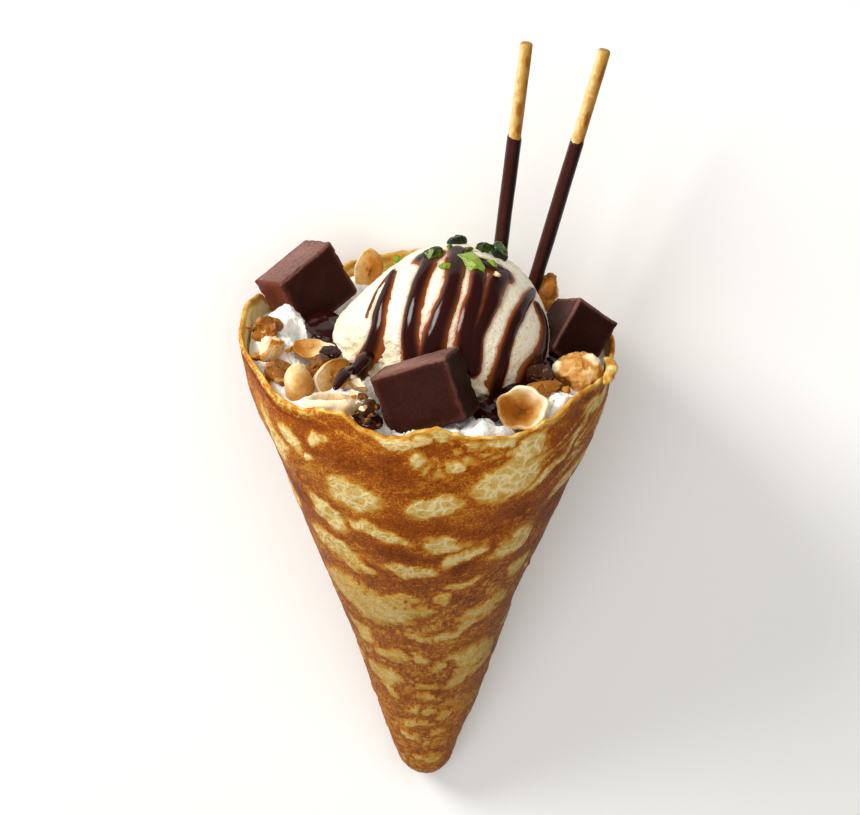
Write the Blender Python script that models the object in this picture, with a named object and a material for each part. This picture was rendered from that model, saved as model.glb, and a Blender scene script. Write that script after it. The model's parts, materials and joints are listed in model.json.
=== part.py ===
"""Crepe cone with ice cream, chocolate blocks, biscuit sticks and hazelnuts.

A thin pancake is rolled into a pointed cone and filled with whipped cream.  On the cream sit a
ball of vanilla ice cream, three blocks of chocolate, a ring of hazelnut halves and pieces, and
two long biscuit sticks whose lower parts are coated with chocolate.

Every piece is worked out upright: the mouth of the cone lies in the plane z = 0, its point hangs
down -Z, and the side that is looked at faces -Y.  The whole is then laid on its back, so that its
back wall lies along the floor with the shown side up.  Lengths are in metres.
"""

import math

import bpy
import bmesh
import numpy as np
from mathutils import Euler, Matrix, Vector

MM = 0.001
GAP = 0.3 * MM                        # air left between pieces that touch
SLIVER = 0.005 * MM                   # points closer than this after a cut are one point

# The cone of the crepe
MOUTH_RADIUS = 52.4 * MM              # the straight wall carried on to the mouth plane
HALF_ANGLE = math.radians(18.1)
SLOPE = math.tan(HALF_ANGLE)
CURL_START = -22.0 * MM               # above this height the wall curls in towards the rim
CURL_IN = 2.6 * MM
TIP_CAP = -135.0 * MM                 # the blunt tip is a rounded cap below this height
TIP_LENGTH = 8.0 * MM
TIP_LEAN = -1.2 * MM                  # the tip leans a little to the left
TIP_SKEW = 2.6 * MM                   # and its rounded end is skewed back to the right
TIP_TAPER = 0.92                      # and is slightly sharper than a half ball
WALL_THICK = 3.0 * MM                 # two or three wraps of crepe
RIM_THICK = 1.7 * MM
THIN_OVER = 24.0 * MM                 # the wall thins to the rim over this height
INNER_TIP = -131.0 * MM
COLUMNS = 60
CAP_TURNS = np.radians((25.0, 56.0))  # rings of the rounded tip, as angles from its point
WALL_LEVELS = np.array((-135.0, -110.0, -86.0, -65.0, -48.0, -35.0, -25.0, -17.0, -10.0)) * MM
INNER_LEVELS = np.array((-8.0, -18.0, -30.0, -70.0, -122.0)) * MM
FOLLOW_RIM = -30.0 * MM               # above this height the rings follow the wavy rim
WRAP_FULL = -90.0 * MM                # above this height the last wrap has its full step
CREASE = 1.2 * MM                     # height of the crease under the lip
CROWN_DROP = 0.3                      # the rim's crown starts this share of its thickness down
RUFFLE = 0.45 * MM
RUFFLE_FROM = -70.0 * MM
RUFFLE_WAVES = ((5.0, 0.6, 1.0), (9.0, -1.3, 0.7), (14.0, 0.0, 0.4))    # waves round, phase, share

# Soft swells and hollows of the wall: (degrees from +X, height, spread, rise) in mm
WALL_SWELLS = (
    (0, -18.0, 17.0, 1.5), (0, -76.0, 36.0, -2.5), (180, -14.0, 18.0, 1.3), (180, -52.0, 18.0, 0.7),
    (158, 4.0, 8.0, 1.6),
)

# The last wrap ends in a step down one side, and its own rim runs below the lip at the front left
SEAM_ANGLE = math.radians(160.0)
SEAM_STEP = 1.1 * MM
LIP_FROM, LIP_TO = math.radians(178.0), math.radians(238.0)
LIP_DROP = 4.0 * MM
LIP_STEP = 0.9 * MM
LIP_FADE = 0.15                       # radians over which the lip fades in and out

# Height of the rim above the mouth plane round the mouth: (degrees from +X, mm)
RIM_HEIGHTS = (
    (0, -2.8), (15, -3.0), (30, -4.6), (45, -7.0), (60, -3.6), (78, 0.6), (95, 1.8), (116, 1.2),
    (136, -4.0), (148, -2.4), (158, 3.6), (166, 4.8), (178, 2.8), (190, 1.6), (207, 2.0), (225, -0.2),
    (237, 2.4), (242, 2.7), (250, -0.9), (258, -1.9), (270, 1.2), (284, -2.4), (295, -3.7),
    (310, -2.0), (320, 0.2), (337, -1.5), (348, -2.8),
)

# Lying down, the back is pressed flat by this much
FLAT_DEPTH = 1.5 * MM

# Whipped cream: level round the rim, lower towards the middle, with a higher swirl at the left
CREAM_LEVEL = -3.8 * MM
CREAM_MIDDLE = -7.5 * MM
CREAM_SWIRLS = (                      # (x, y, radius, height) in mm
    (-38.0, 10.0, 8.5, 8.0), (-19.0, -31.0, 8.0, 2.4), (30.0, 31.0, 10.0, 1.2),
    (17.0, -41.0, 6.0, 2.0), (-26.0, 36.0, 10.0, 1.4), (35.0, -31.0, 6.0, 2.4),
    (-38.0, -14.0, 9.0, 2.0), (-28.0, -26.0, 9.0, 2.4), (-40.0, -3.0, 7.0, 4.4),
)

# Vanilla ice cream
SCOOP_CENTRE = Vector((6.8, 0.0, 0.9)) * MM
SCOOP_RADIUS = 25.3 * MM
SCOOP_BULGES = (                      # (azimuth, elevation, spread in degrees, height in mm)
    (184, 4, 24, 6.2), (205, -16, 26, 4.0), (235, -20, 22, 2.2), (282, -18, 24, 1.6),
    (322, -22, 24, 1.8), (150, -10, 26, 2.6),
)

# Chocolate blocks: name, size, middle (mm) and turn about X, Y and Z (degrees)
BLOCKS = (
    ("chocolate_block_left", (13.0, 20.0, 17.0), (-34.0, 20.4, 5.5), (19, -19, -52)),
    ("chocolate_block_front", (21.8, 13.2, 17.6), (-1.2, -34.6, 3.3), (-15, -23, -11)),
    ("chocolate_block_right", (17.0, 13.2, 16.6), (38.6, 4.6, -1.4), (137, -27, -66)),
)
BLOCK_BEVEL = 0.7 * MM

# Biscuit sticks: name, point where the stick leaves the toppings, and its upper end (mm)
STICKS = (
    ("left", (19.4, 26.4, 14.7), (25.9, 34.0, 72.4)),
    ("right", (28.4, 26.6, 1.6), (47.1, 36.0, 69.4)),
)
STICK_LENGTH = 111.0 * MM
BARE_LENGTH = 26.4 * MM
BISCUIT_RADIUS = 1.75 * MM
COAT_RADIUS = 1.98 * MM
COAT_BORE = 1.5 * MM
CORE_RADIUS = 1.2 * MM
STICK_SIDES = 12

# Hazelnut halves: name, middle of the open face (mm), the way the face looks (azimuth and
# elevation in degrees), turn in its own plane, length, width, depth (mm) and number of lobes
HALVES = (
    ("hazelnut_half_back", (-17.2, 38.0, 1.0), (262, 28), 84, 12.6, 8.4, 5.0, 2),
    ("hazelnut_half_front_right", (24.1, -35.2, -1.0), (262, 40), 10, 13.8, 12.0, 5.6, 5),
    ("hazelnut_half_front_left", (-26.2, -23.6, 2.6), (296, 36), 25, 13.4, 10.0, 5.4, 3),
    ("hazelnut_half_left_rim", (-35.6, -23.6, 1.3), (84, 10), 80, 14.0, 9.0, 5.0, 2),
    ("hazelnut_half_ragged", (-25.2, -36.6, 1.8), (255, 46), 2, 15.4, 8.6, 5.2, 4),
)

# Nut pieces: name, middle (mm), heading, tilt and roll (degrees), length, width, height (mm), seed
PIECES = (
    ("hazelnut_peeled_right", (39.4, -15.4, -2.4), (30, 10, 0), 13.8, 12.0, 12.6, 3),
    ("nut_piece_back_right", (32.6, 26.6, -0.6), (60, 66, 10), 12.6, 6.2, 5.4, 5),
    ("nut_piece_right", (27.6, -27.0, -2.6), (22, 6, 0), 17.0, 7.4, 7.8, 7),
    ("nut_piece_dark", (28.6, -20.4, 0.0), (-30, 20, 40), 9.6, 6.4, 6.4, 8),
    ("nut_piece_left_top", (-44.4, 0.0, 2.6), (60, 10, 10), 8.0, 6.2, 6.0, 9),
    ("nut_piece_left_ragged", (-42.9, -8.2, 2.4), (75, 40, 0), 10.0, 7.0, 6.2, 11),
    ("nut_slice_left", (-32.4, -8.4, 2.2), (8, -8, 0), 12.8, 6.2, 5.6, 13),
    ("nut_chunk_left", (-40.2, -17.4, -0.6), (-50, 10, 20), 10.2, 8.0, 7.4, 15),
    ("nut_piece_left_middle", (-30.4, -15.4, 0.6), (40, 0, 20), 8.0, 6.8, 5.6, 17),
    ("nut_crumb_front", (-16.2, -38.2, 0.6), (60, 20, 0), 6.8, 5.2, 7.0, 19),
)

COLOURS = {                           # linear colour and roughness of each finish
    "crepe": ((0.52, 0.24, 0.07), 0.62),
    "cream": ((0.90, 0.87, 0.80), 0.45),
    "vanilla": ((0.86, 0.77, 0.50), 0.40),
    "chocolate": ((0.045, 0.018, 0.012), 0.55),
    "coat": ((0.035, 0.012, 0.010), 0.35),
    "biscuit": ((0.80, 0.58, 0.22), 0.70),
    "nut": ((0.66, 0.40, 0.15), 0.45),
    "nut_pale": ((0.80, 0.66, 0.42), 0.50),
}


def smooth_step(value, start, end):
    """0 before start, 1 after end and an even S-curve between."""
    t = np.clip((value - start) / (end - start), 0.0, 1.0)
    return t * t * (3.0 - 2.0 * t)


def angle_between(a, b):
    """Signed difference of two angles, wrapped to half a turn either way."""
    return (a - b + math.pi) % (2.0 * math.pi) - math.pi


def finish(name):
    """The material of one finish, made once."""
    material = bpy.data.materials.get(name)
    if material is None:
        colour, roughness = COLOURS[name]
        material = bpy.data.materials.new(name)
        material.use_nodes = True
        shader = material.node_tree.nodes["Principled BSDF"]
        shader.inputs["Base Color"].default_value = (*colour, 1.0)
        shader.inputs["Roughness"].default_value = roughness
        shader.inputs["Metallic"].default_value = 0.0
        material.diffuse_color = (*colour, 1.0)
    return material


def add_object(name, mesh, material):
    """Put a mesh into the scene as a named piece with its material."""
    piece = bpy.data.objects.new(name, mesh)
    bpy.context.scene.collection.objects.link(piece)
    if material:
        mesh.materials.append(finish(material))
    mesh.shade_smooth()
    mesh.set_sharp_from_angle(angle=math.radians(40.0))
    return piece


def closed_mesh(name, rings, first_pole, last_pole):
    """A closed skin through rings of points, an array of (ring, column, xyz), with a pole each end."""
    count, columns = rings.shape[:2]
    points = np.concatenate([[first_pole], rings.reshape(-1, 3), [last_pole]])
    last = len(points) - 1
    faces = []
    for j in range(columns):
        k = (j + 1) % columns
        faces.append((0, 1 + k, 1 + j))
        top = 1 + (count - 1) * columns
        faces.append((last, top + j, top + k))
        for i in range(count - 1):
            low, high = 1 + i * columns, 1 + (i + 1) * columns
            faces.append((low + j, low + k, high + k, high + j))
    mesh = bpy.data.meshes.new(name)
    mesh.from_pydata(points.tolist(), [], faces)
    shell = bmesh.new()
    shell.from_mesh(mesh)
    bmesh.ops.triangulate(shell, faces=[f for f in shell.faces if len(f.verts) > 3])
    bmesh.ops.recalc_face_normals(shell, faces=shell.faces)
    shell.to_mesh(mesh)
    shell.free()
    return mesh


# ---------------------------------------------------------------- crepe and cream


def rim_height(theta):
    """Height of the rim at an angle, an even curve through RIM_HEIGHTS."""
    stops = np.radians([stop for stop, _ in RIM_HEIGHTS])
    heights = np.array([height for _, height in RIM_HEIGHTS]) * MM
    stops = np.append(stops, stops[0] + 2.0 * math.pi)
    heights = np.append(heights, heights[0])
    theta = np.mod(theta, 2.0 * math.pi)
    index = np.clip(np.searchsorted(stops, theta, side="right") - 1, 0, len(stops) - 2)
    part = smooth_step(theta, stops[index], stops[index + 1])
    return heights[index] * (1.0 - part) + heights[index + 1] * part


def wall_radius(theta, z):
    """Outer radius of the crepe: a cone that curls in at the rim, swells and ruffles a little."""
    radius = MOUTH_RADIUS + SLOPE * np.minimum(z, 0.0)
    radius = radius - CURL_IN * np.clip((z - CURL_START) / -CURL_START, 0.0, 1.0) ** 2
    for turn, height, spread, rise in WALL_SWELLS:
        side = np.clip(np.cos(theta - math.radians(turn)), 0.0, 1.0) ** 2
        radius = radius + rise * MM * side * np.exp(-(((z / MM - height) / spread) ** 2))
    near_rim = smooth_step(z, RUFFLE_FROM, 0.0)
    ruffle = sum(share * np.sin(waves * theta + phase) for waves, phase, share in RUFFLE_WAVES)
    return radius + RUFFLE * near_rim * ruffle


def wall_thickness(z):
    """Thickness of the crepe, measured level: thin at the rim and two or three wraps below."""
    return RIM_THICK + (WALL_THICK - RIM_THICK) * (1.0 - smooth_step(z, -THIN_OVER, 0.0))


def ring(theta, radius, z):
    """Points of one ring round the cone, shifted towards the twisted tip."""
    lean = TIP_LEAN * smooth_step(-z, 90.0 * MM, -TIP_CAP)
    lean = lean + TIP_SKEW * np.clip((TIP_CAP - z) / TIP_LENGTH, 0.0, 1.0)
    return np.stack([radius * np.cos(theta) + lean, radius * np.sin(theta), z + 0.0 * theta], axis=-1)


def press_back(points):
    """Move what would sink into the floor, once laid down, up to one flat."""
    height = (MOUTH_RADIUS - points[..., 1]) * math.cos(HALF_ANGLE) + points[..., 2] * math.sin(HALF_ANGLE)
    lift = np.maximum(FLAT_DEPTH - height, 0.0)[..., None]
    return points + lift * np.array((0.0, -math.cos(HALF_ANGLE), math.sin(HALF_ANGLE)))


def inner_ring(theta, level, inset=0.0):
    """One ring on the inside of the wall, or inset from it."""
    z = level + rim_height(theta) * smooth_step(level, FOLLOW_RIM, 0.0)
    return ring(theta, wall_radius(theta, z) - wall_thickness(z) - inset, z)


def lip_share(theta):
    """1 along the lip at the front left, 0 elsewhere, with soft ends."""
    begun = smooth_step(theta, LIP_FROM, LIP_FROM + LIP_FADE)
    return begun * (1.0 - smooth_step(theta, LIP_TO - LIP_FADE, LIP_TO))


def wrap_step(theta):
    """How far the outermost wrap stands out, rising round the cone to its step at the seam."""
    seam = angle_between(theta, SEAM_ANGLE)
    return SEAM_STEP * (np.where(seam > 0.0, seam, seam + 2.0 * math.pi) / (2.0 * math.pi) - 0.5)


def make_crepe():
    """The rolled crepe: blunt tip, outer wall with the last wrap's step, lip, rim and inner wall."""
    theta = np.arange(COLUMNS) * 2.0 * math.pi / COLUMNS
    rim, lip, wrap = rim_height(theta), lip_share(theta), wrap_step(theta)

    rings = []
    for turn in CAP_TURNS:
        radius = wall_radius(theta, TIP_CAP) * math.sin(turn) * TIP_TAPER
        rings.append(ring(theta, radius, TIP_CAP - TIP_LENGTH * math.cos(turn)))
    for level in WALL_LEVELS:
        z = level + rim * smooth_step(level, FOLLOW_RIM, 0.0)
        rings.append(ring(theta, wall_radius(theta, z) + wrap * smooth_step(level, TIP_CAP, WRAP_FULL), z))
    step = rim - LIP_DROP
    crown = rim - CROWN_DROP * RIM_THICK
    rings.append(ring(theta, wall_radius(theta, step - CREASE) + wrap, step - CREASE))
    rings.append(ring(theta, wall_radius(theta, step) + wrap - LIP_STEP * lip, step))
    rings.append(ring(theta, wall_radius(theta, crown) - LIP_STEP * lip, crown))
    rings.append(ring(theta, wall_radius(theta, rim) - 0.5 * RIM_THICK, rim))
    rings = [press_back(points) for points in rings]
    rings.append(ring(theta, wall_radius(theta, crown) - RIM_THICK, crown))
    rings += [inner_ring(theta, level) for level in INNER_LEVELS]
    tip = (TIP_LEAN + TIP_SKEW, 0.0, TIP_CAP - TIP_LENGTH)
    mesh = closed_mesh("crepe_wrap", np.array(rings), tip, (TIP_LEAN, 0.0, INNER_TIP))
    return add_object("crepe_wrap", mesh, "crepe")


def cream_height(x, y):
    """Height of the cream: level near the rim, lower in the middle, raised in soft swirls."""
    out = np.hypot(x, y) / MOUTH_RADIUS
    height = CREAM_MIDDLE + (CREAM_LEVEL - CREAM_MIDDLE) * smooth_step(out, 0.35, 0.8)
    for cx, cy, radius, rise in CREAM_SWIRLS:
        near = np.exp(-((x - cx * MM) ** 2 + (y - cy * MM) ** 2) / (radius * MM) ** 2)
        height = height + rise * MM * near
    return height


def make_cream():
    """Whipped cream from the tip up to its uneven top, clear of the crepe by the gap."""
    theta = np.arange(COLUMNS) * 2.0 * math.pi / COLUMNS
    inset = GAP / math.cos(HALF_ANGLE)
    rings = [inner_ring(theta, level, inset) for level in INNER_LEVELS[::-1]]
    edge = rings[-1]
    follow = np.minimum(rim_height(theta), 0.0) + 0.4 * np.maximum(rim_height(theta), 0.0)
    brim = cream_height(edge[:, 0], edge[:, 1]) + follow
    rings.append(ring(theta, wall_radius(theta, brim) - wall_thickness(brim) - 2.0 * inset, brim))
    edge = rings[-1]
    for part in (0.89, 0.75, 0.56, 0.3):
        x, y = edge[:, 0] * part, edge[:, 1] * part
        z = cream_height(x, y) + follow * smooth_step(part, 0.6, 1.0)
        rings.append(np.stack([x, y, z], axis=-1))
    bottom = (TIP_LEAN, 0.0, INNER_TIP + 2.0 * MM)
    mesh = closed_mesh("whipped_cream", np.array(rings), bottom, (0.0, 0.0, CREAM_MIDDLE))
    return add_object("whipped_cream", mesh, "cream")


# ---------------------------------------------------------------- toppings


def make_scoop():
    """The ball of ice cream with the ragged foot that the scoop leaves round its base."""
    columns, rows = 28, 13
    azimuth = np.arange(columns) * 2.0 * math.pi / columns
    elevation = np.radians(np.linspace(-90.0, 90.0, rows + 2))[1:-1]
    grid_azimuth, grid_elevation = np.meshgrid(azimuth, elevation)
    radius = np.full(grid_azimuth.shape, SCOOP_RADIUS)
    for turn, up, spread, rise in SCOOP_BULGES:
        across = angle_between(grid_azimuth, math.radians(turn)) * np.cos(grid_elevation)
        along = grid_elevation - math.radians(up)
        radius += rise * MM * np.exp(-(across ** 2 + along ** 2) / math.radians(spread) ** 2)
    radius += 0.35 * MM * np.sin(7.0 * grid_azimuth) * np.exp(-((grid_elevation + 0.3) / 0.3) ** 2)
    flat = radius * np.cos(grid_elevation)
    rings = np.stack([flat * np.cos(grid_azimuth), flat * np.sin(grid_azimuth),
                      radius * np.sin(grid_elevation)], axis=-1)
    mesh = closed_mesh("vanilla_scoop", rings, (0.0, 0.0, -SCOOP_RADIUS), (0.0, 0.0, SCOOP_RADIUS))
    mesh.transform(Matrix.Translation(SCOOP_CENTRE))
    return add_object("vanilla_scoop", mesh, "vanilla")


def make_block(name, size, middle, turn):
    """One cut block of chocolate, its edges a little softened."""
    shell = bmesh.new()
    bmesh.ops.create_cube(shell, size=1.0)
    bmesh.ops.scale(shell, vec=Vector(size) * MM, verts=shell.verts)
    bmesh.ops.bevel(shell, geom=shell.edges[:], offset=BLOCK_BEVEL, segments=2, profile=0.5,
                    affect="EDGES", clamp_overlap=True)
    bmesh.ops.triangulate(shell, faces=shell.faces)
    place = Matrix.Translation(Vector(middle) * MM)
    turned = Euler([math.radians(angle) for angle in turn], "XYZ").to_matrix().to_4x4()
    shell.transform(place @ turned)
    mesh = bpy.data.meshes.new(name)
    shell.to_mesh(mesh)
    shell.free()
    return add_object(name, mesh, "chocolate")


def turned_mesh(name, profile, start, direction):
    """A skin turned round an axis, from (distance along, radius) stops; it closes where radius is 0."""
    angles = np.arange(STICK_SIDES) * 2.0 * math.pi / STICK_SIDES
    rings = np.array([np.stack([radius * np.cos(angles), radius * np.sin(angles),
                                along + 0.0 * angles], axis=-1) for along, radius in profile[1:-1]])
    mesh = closed_mesh(name, rings, (0.0, 0.0, profile[0][0]), (0.0, 0.0, profile[-1][0]))
    turn = direction.to_track_quat("Z", "Y").to_matrix().to_4x4()
    mesh.transform(Matrix.Translation(start) @ turn)
    return mesh


def make_stick(side, leaves, upper_end):
    """A baked biscuit stick, bare at its upper end and slimmer inside its chocolate coat."""
    upper_end = Vector(upper_end) * MM
    direction = (upper_end - Vector(leaves) * MM).normalized()
    start = upper_end - direction * STICK_LENGTH
    coated = STICK_LENGTH - BARE_LENGTH
    rounding = 0.5 * MM
    biscuit = turned_mesh(f"biscuit_stick_{side}", (
        (0.0, 0.0),
        (0.0, CORE_RADIUS),
        (coated, CORE_RADIUS),
        (coated + GAP, BISCUIT_RADIUS),
        (STICK_LENGTH - rounding, BISCUIT_RADIUS),
        (STICK_LENGTH, BISCUIT_RADIUS - rounding),
        (STICK_LENGTH, 0.0),
    ), start, direction)
    add_object(f"biscuit_stick_{side}", biscuit, "biscuit")
    return make_coat(side, start, direction, coated)


def make_coat(side, start, direction, coated):
    """The chocolate sleeve round the lower part of a stick, open at both ends."""
    angles = np.arange(STICK_SIDES) * 2.0 * math.pi / STICK_SIDES
    shoulder = 0.4 * MM
    section = ((COAT_BORE, 0.0), (COAT_RADIUS, 0.0), (COAT_RADIUS, coated - GAP - shoulder),
               (COAT_RADIUS - shoulder, coated - GAP), (COAT_BORE, coated - GAP))
    shell = bmesh.new()
    loops = [[shell.verts.new((radius * math.cos(a), radius * math.sin(a), along)) for a in angles]
             for radius, along in section]
    for near, far in zip(loops, loops[1:] + loops[:1]):
        for j in range(STICK_SIDES):
            k = (j + 1) % STICK_SIDES
            shell.faces.new((near[j], near[k], far[k], far[j]))
    bmesh.ops.triangulate(shell, faces=shell.faces)
    bmesh.ops.recalc_face_normals(shell, faces=shell.faces)
    turn = direction.to_track_quat("Z", "Y").to_matrix().to_4x4()
    shell.transform(Matrix.Translation(start) @ turn)
    mesh = bpy.data.meshes.new(f"stick_coat_{side}")
    shell.to_mesh(mesh)
    shell.free()
    return add_object(f"stick_coat_{side}", mesh, "coat")


def make_half(name, middle, facing, turn, length, width, depth, lobes):
    """Half a hazelnut: a round back, a thick lobed rim and a hollow in its open face."""
    columns = 12
    angles = np.arange(columns) * 2.0 * math.pi / columns
    lobe = 1.0 + 0.07 * np.sin(lobes * angles + 0.8) + 0.03 * np.sin((lobes + 3) * angles)
    section = (                       # (part of the radius, part of the depth below the face)
        (0.45, 0.92), (0.80, 0.62), (0.98, 0.22), (0.94, -0.02), (0.78, -0.04), (0.60, 0.22), (0.30, 0.46),
    )
    rings = np.array([np.stack([out * lobe * np.cos(angles) * length / 2.0 * MM,
                                out * lobe * np.sin(angles) * width / 2.0 * MM,
                                -down * depth * MM + 0.0 * angles], axis=-1) for out, down in section])
    rings[3:5, :, 2] += 0.05 * depth * MM * np.sin(2.0 * angles + lobes)
    mesh = closed_mesh(name, rings, (0.0, 0.0, -depth * MM), (0.0, 0.0, -0.52 * depth * MM))
    azimuth, elevation = (math.radians(angle) for angle in facing)
    look = Vector((math.cos(azimuth) * math.cos(elevation), math.sin(azimuth) * math.cos(elevation),
                   math.sin(elevation)))
    frame = look.to_track_quat("Z", "Y").to_matrix().to_4x4()
    mesh.transform(Matrix.Translation(Vector(middle) * MM) @ frame
                   @ Matrix.Rotation(math.radians(turn), 4, "Z"))
    return add_object(name, mesh, "nut_pale")


def make_piece(name, middle, turn, length, width, height, seed):
    """A broken piece of nut: an egg with uneven flats where it snapped."""
    rng = np.random.default_rng(seed)
    columns, rows = 10, 6
    azimuth = np.arange(columns) * 2.0 * math.pi / columns
    elevation = np.radians(np.linspace(-90.0, 90.0, rows + 2))[1:-1]
    grid_azimuth, grid_elevation = np.meshgrid(azimuth, elevation)
    way = np.stack([np.cos(grid_elevation) * np.cos(grid_azimuth),
                    np.cos(grid_elevation) * np.sin(grid_azimuth), np.sin(grid_elevation)], axis=-1)
    reach = np.ones(grid_azimuth.shape)
    poles = np.ones(2)
    for _ in range(5):
        normal = rng.normal(size=3)
        normal /= np.linalg.norm(normal)
        cut = rng.uniform(0.72, 0.95)
        reach = np.minimum(reach, cut / np.maximum(way @ normal, 0.05))
        poles = np.minimum(poles, cut / np.maximum(np.array((-normal[2], normal[2])), 0.05))
    half = np.array((length, width, height)) / 2.0 * MM
    mesh = closed_mesh(name, way * reach[..., None] * half, (0.0, 0.0, -poles[0] * half[2]),
                       (0.0, 0.0, poles[1] * half[2]))
    heading, tilt, roll = (math.radians(angle) for angle in turn)
    turned = Euler((roll, -tilt, heading), "XYZ").to_matrix().to_4x4()
    mesh.transform(Matrix.Translation(Vector(middle) * MM) @ turned)
    return add_object(name, mesh, "nut")


# ---------------------------------------------------------------- fitting and laying down


def corners(piece):
    """Lowest and highest corner of a piece in its own coordinates."""
    points = np.array([vertex.co for vertex in piece.data.vertices])
    return points.min(axis=0), points.max(axis=0)


def near_each_other(a, b):
    """True if the boxes of two pieces, with room for the gap, meet."""
    (low_a, high_a), (low_b, high_b) = corners(a), corners(b)
    return bool(np.all(low_a - 2.0 * GAP < high_b) and np.all(low_b - 2.0 * GAP < high_a))


def grown_copy(piece):
    """A copy of a piece, thicker by the gap all over, to cut its neighbours with."""
    shell = bmesh.new()
    shell.from_mesh(piece.data)
    bmesh.ops.recalc_face_normals(shell, faces=shell.faces)
    shell.normal_update()
    moves = [vertex.normal * GAP * vertex.calc_shell_factor() for vertex in shell.verts]
    for vertex, move in zip(shell.verts, moves):
        vertex.co += move
    mesh = bpy.data.meshes.new(piece.name + "_room")
    shell.to_mesh(mesh)
    shell.free()
    return add_object(piece.name + "_room", mesh, None)


def carve(piece, neighbours):
    """Cut room for its neighbours out of a piece and keep the largest body that is left."""
    cutters = [grown_copy(other) for other in neighbours if near_each_other(piece, other)]
    for cutter in cutters:
        modifier = piece.modifiers.new(cutter.name, "BOOLEAN")
        modifier.operation = "DIFFERENCE"
        modifier.solver = "EXACT"
        modifier.object = cutter
    if not cutters:
        return
    bpy.context.view_layer.update()
    graph = bpy.context.evaluated_depsgraph_get()
    cut = bpy.data.meshes.new_from_object(piece.evaluated_get(graph))
    piece.modifiers.clear()
    piece.data = cut
    keep_largest(cut)
    cut.shade_smooth()
    cut.set_sharp_from_angle(angle=math.radians(40.0))
    for cutter in cutters:
        bpy.data.objects.remove(cutter)


def keep_largest(mesh):
    """Drop crumbs that a cut left behind."""
    shell = bmesh.new()
    shell.from_mesh(mesh)
    bmesh.ops.remove_doubles(shell, verts=shell.verts, dist=SLIVER)
    bmesh.ops.dissolve_degenerate(shell, edges=shell.edges, dist=SLIVER)
    bmesh.ops.triangulate(shell, faces=shell.faces)
    waiting = set(shell.verts)
    bodies = []
    while waiting:
        front = [waiting.pop()]
        body = set(front)
        while front:
            for edge in front.pop().link_edges:
                for vertex in edge.verts:
                    if vertex in waiting:
                        waiting.discard(vertex)
                        body.add(vertex)
                        front.append(vertex)
        bodies.append(body)
    bodies.sort(key=len, reverse=True)
    for body in bodies[1:]:
        bmesh.ops.delete(shell, geom=list(body), context="VERTS")
    shell.to_mesh(mesh)
    shell.free()


def lay_down(pieces):
    """Lay the cone on its back and put the origin under the middle of its box."""
    holder = bpy.data.objects.new("laid_down", None)
    bpy.context.scene.collection.objects.link(holder)
    holder.rotation_euler = (HALF_ANGLE - math.pi / 2.0, 0.0, 0.0)
    turn = np.array(Euler(holder.rotation_euler, "XYZ").to_matrix())
    points = np.concatenate([np.array([vertex.co for vertex in piece.data.vertices]) for piece in pieces])
    points = points @ turn.T
    low, high = points.min(axis=0), points.max(axis=0)
    holder.location = (-(low[0] + high[0]) / 2.0, -(low[1] + high[1]) / 2.0, -low[2])
    for piece in pieces:
        piece.parent = holder


def main():
    for old in list(bpy.data.objects):
        bpy.data.objects.remove(old)

    for stick in STICKS:
        make_stick(*stick)
    for block in BLOCKS:
        make_block(*block)
    for half in HALVES:
        make_half(*half)
    for piece in PIECES:
        make_piece(*piece)
    toppings = list(bpy.context.scene.collection.objects)
    firm = [piece for piece in toppings if not piece.name.startswith(("hazelnut", "nut"))]
    nuts = [piece for piece in toppings if piece not in firm]
    for index, nut in enumerate(nuts):
        carve(nut, firm + nuts[:index])
    scoop = make_scoop()
    carve(scoop, toppings)
    cream = make_cream()
    carve(cream, toppings + [scoop])
    crepe = make_crepe()
    lay_down(toppings + [scoop, cream, crepe])


main()
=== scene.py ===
"""Crepe cone with ice cream, chocolate blocks, biscuit sticks and hazelnuts: its finished looks.

Shapes are worked out upright, in millimetres: the mouth of the cone lies in the plane z = 0, its
point hangs down -Z and the shown side faces -Y.  laid_down() then turns them onto the cone's back
and moves them into the frame, in metres.
"""

import itertools
import json
import math

import bpy
import numpy as np
from bpy.props import FloatProperty, FloatVectorProperty, PointerProperty
from mathutils import Euler, Matrix, Vector


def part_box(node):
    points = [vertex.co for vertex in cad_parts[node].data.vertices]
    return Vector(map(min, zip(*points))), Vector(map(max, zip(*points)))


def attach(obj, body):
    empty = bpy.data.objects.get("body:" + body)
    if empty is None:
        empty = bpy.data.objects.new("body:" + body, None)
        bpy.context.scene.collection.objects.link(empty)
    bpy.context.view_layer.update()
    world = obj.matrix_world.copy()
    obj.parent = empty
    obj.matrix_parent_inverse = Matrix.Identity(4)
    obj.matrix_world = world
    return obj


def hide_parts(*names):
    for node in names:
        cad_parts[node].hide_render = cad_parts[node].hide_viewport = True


bl_info = {
    "name": "Crepe cone",
    "version": (1, 0, 0),
    "blender": (4, 5, 0),
    "location": "View3D > Sidebar > Crepe cone",
    "description": "A filled crepe cone with ice cream, sauce, chocolate, nuts and biscuit sticks",
    "category": "Add Mesh",
}

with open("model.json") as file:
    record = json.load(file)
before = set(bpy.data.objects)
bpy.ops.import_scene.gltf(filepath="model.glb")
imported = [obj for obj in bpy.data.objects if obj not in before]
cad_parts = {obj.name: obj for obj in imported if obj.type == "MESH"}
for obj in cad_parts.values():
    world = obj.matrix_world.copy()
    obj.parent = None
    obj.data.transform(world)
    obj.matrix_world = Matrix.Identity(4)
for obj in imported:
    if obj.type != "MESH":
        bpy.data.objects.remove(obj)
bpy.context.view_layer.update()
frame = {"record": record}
SLOTS = {part["node"]: part["material_slot"] for part in frame["record"]["subparts"]}

MM = 0.001

# ---------------------------------------------------------------- design values, mm and degrees

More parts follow.
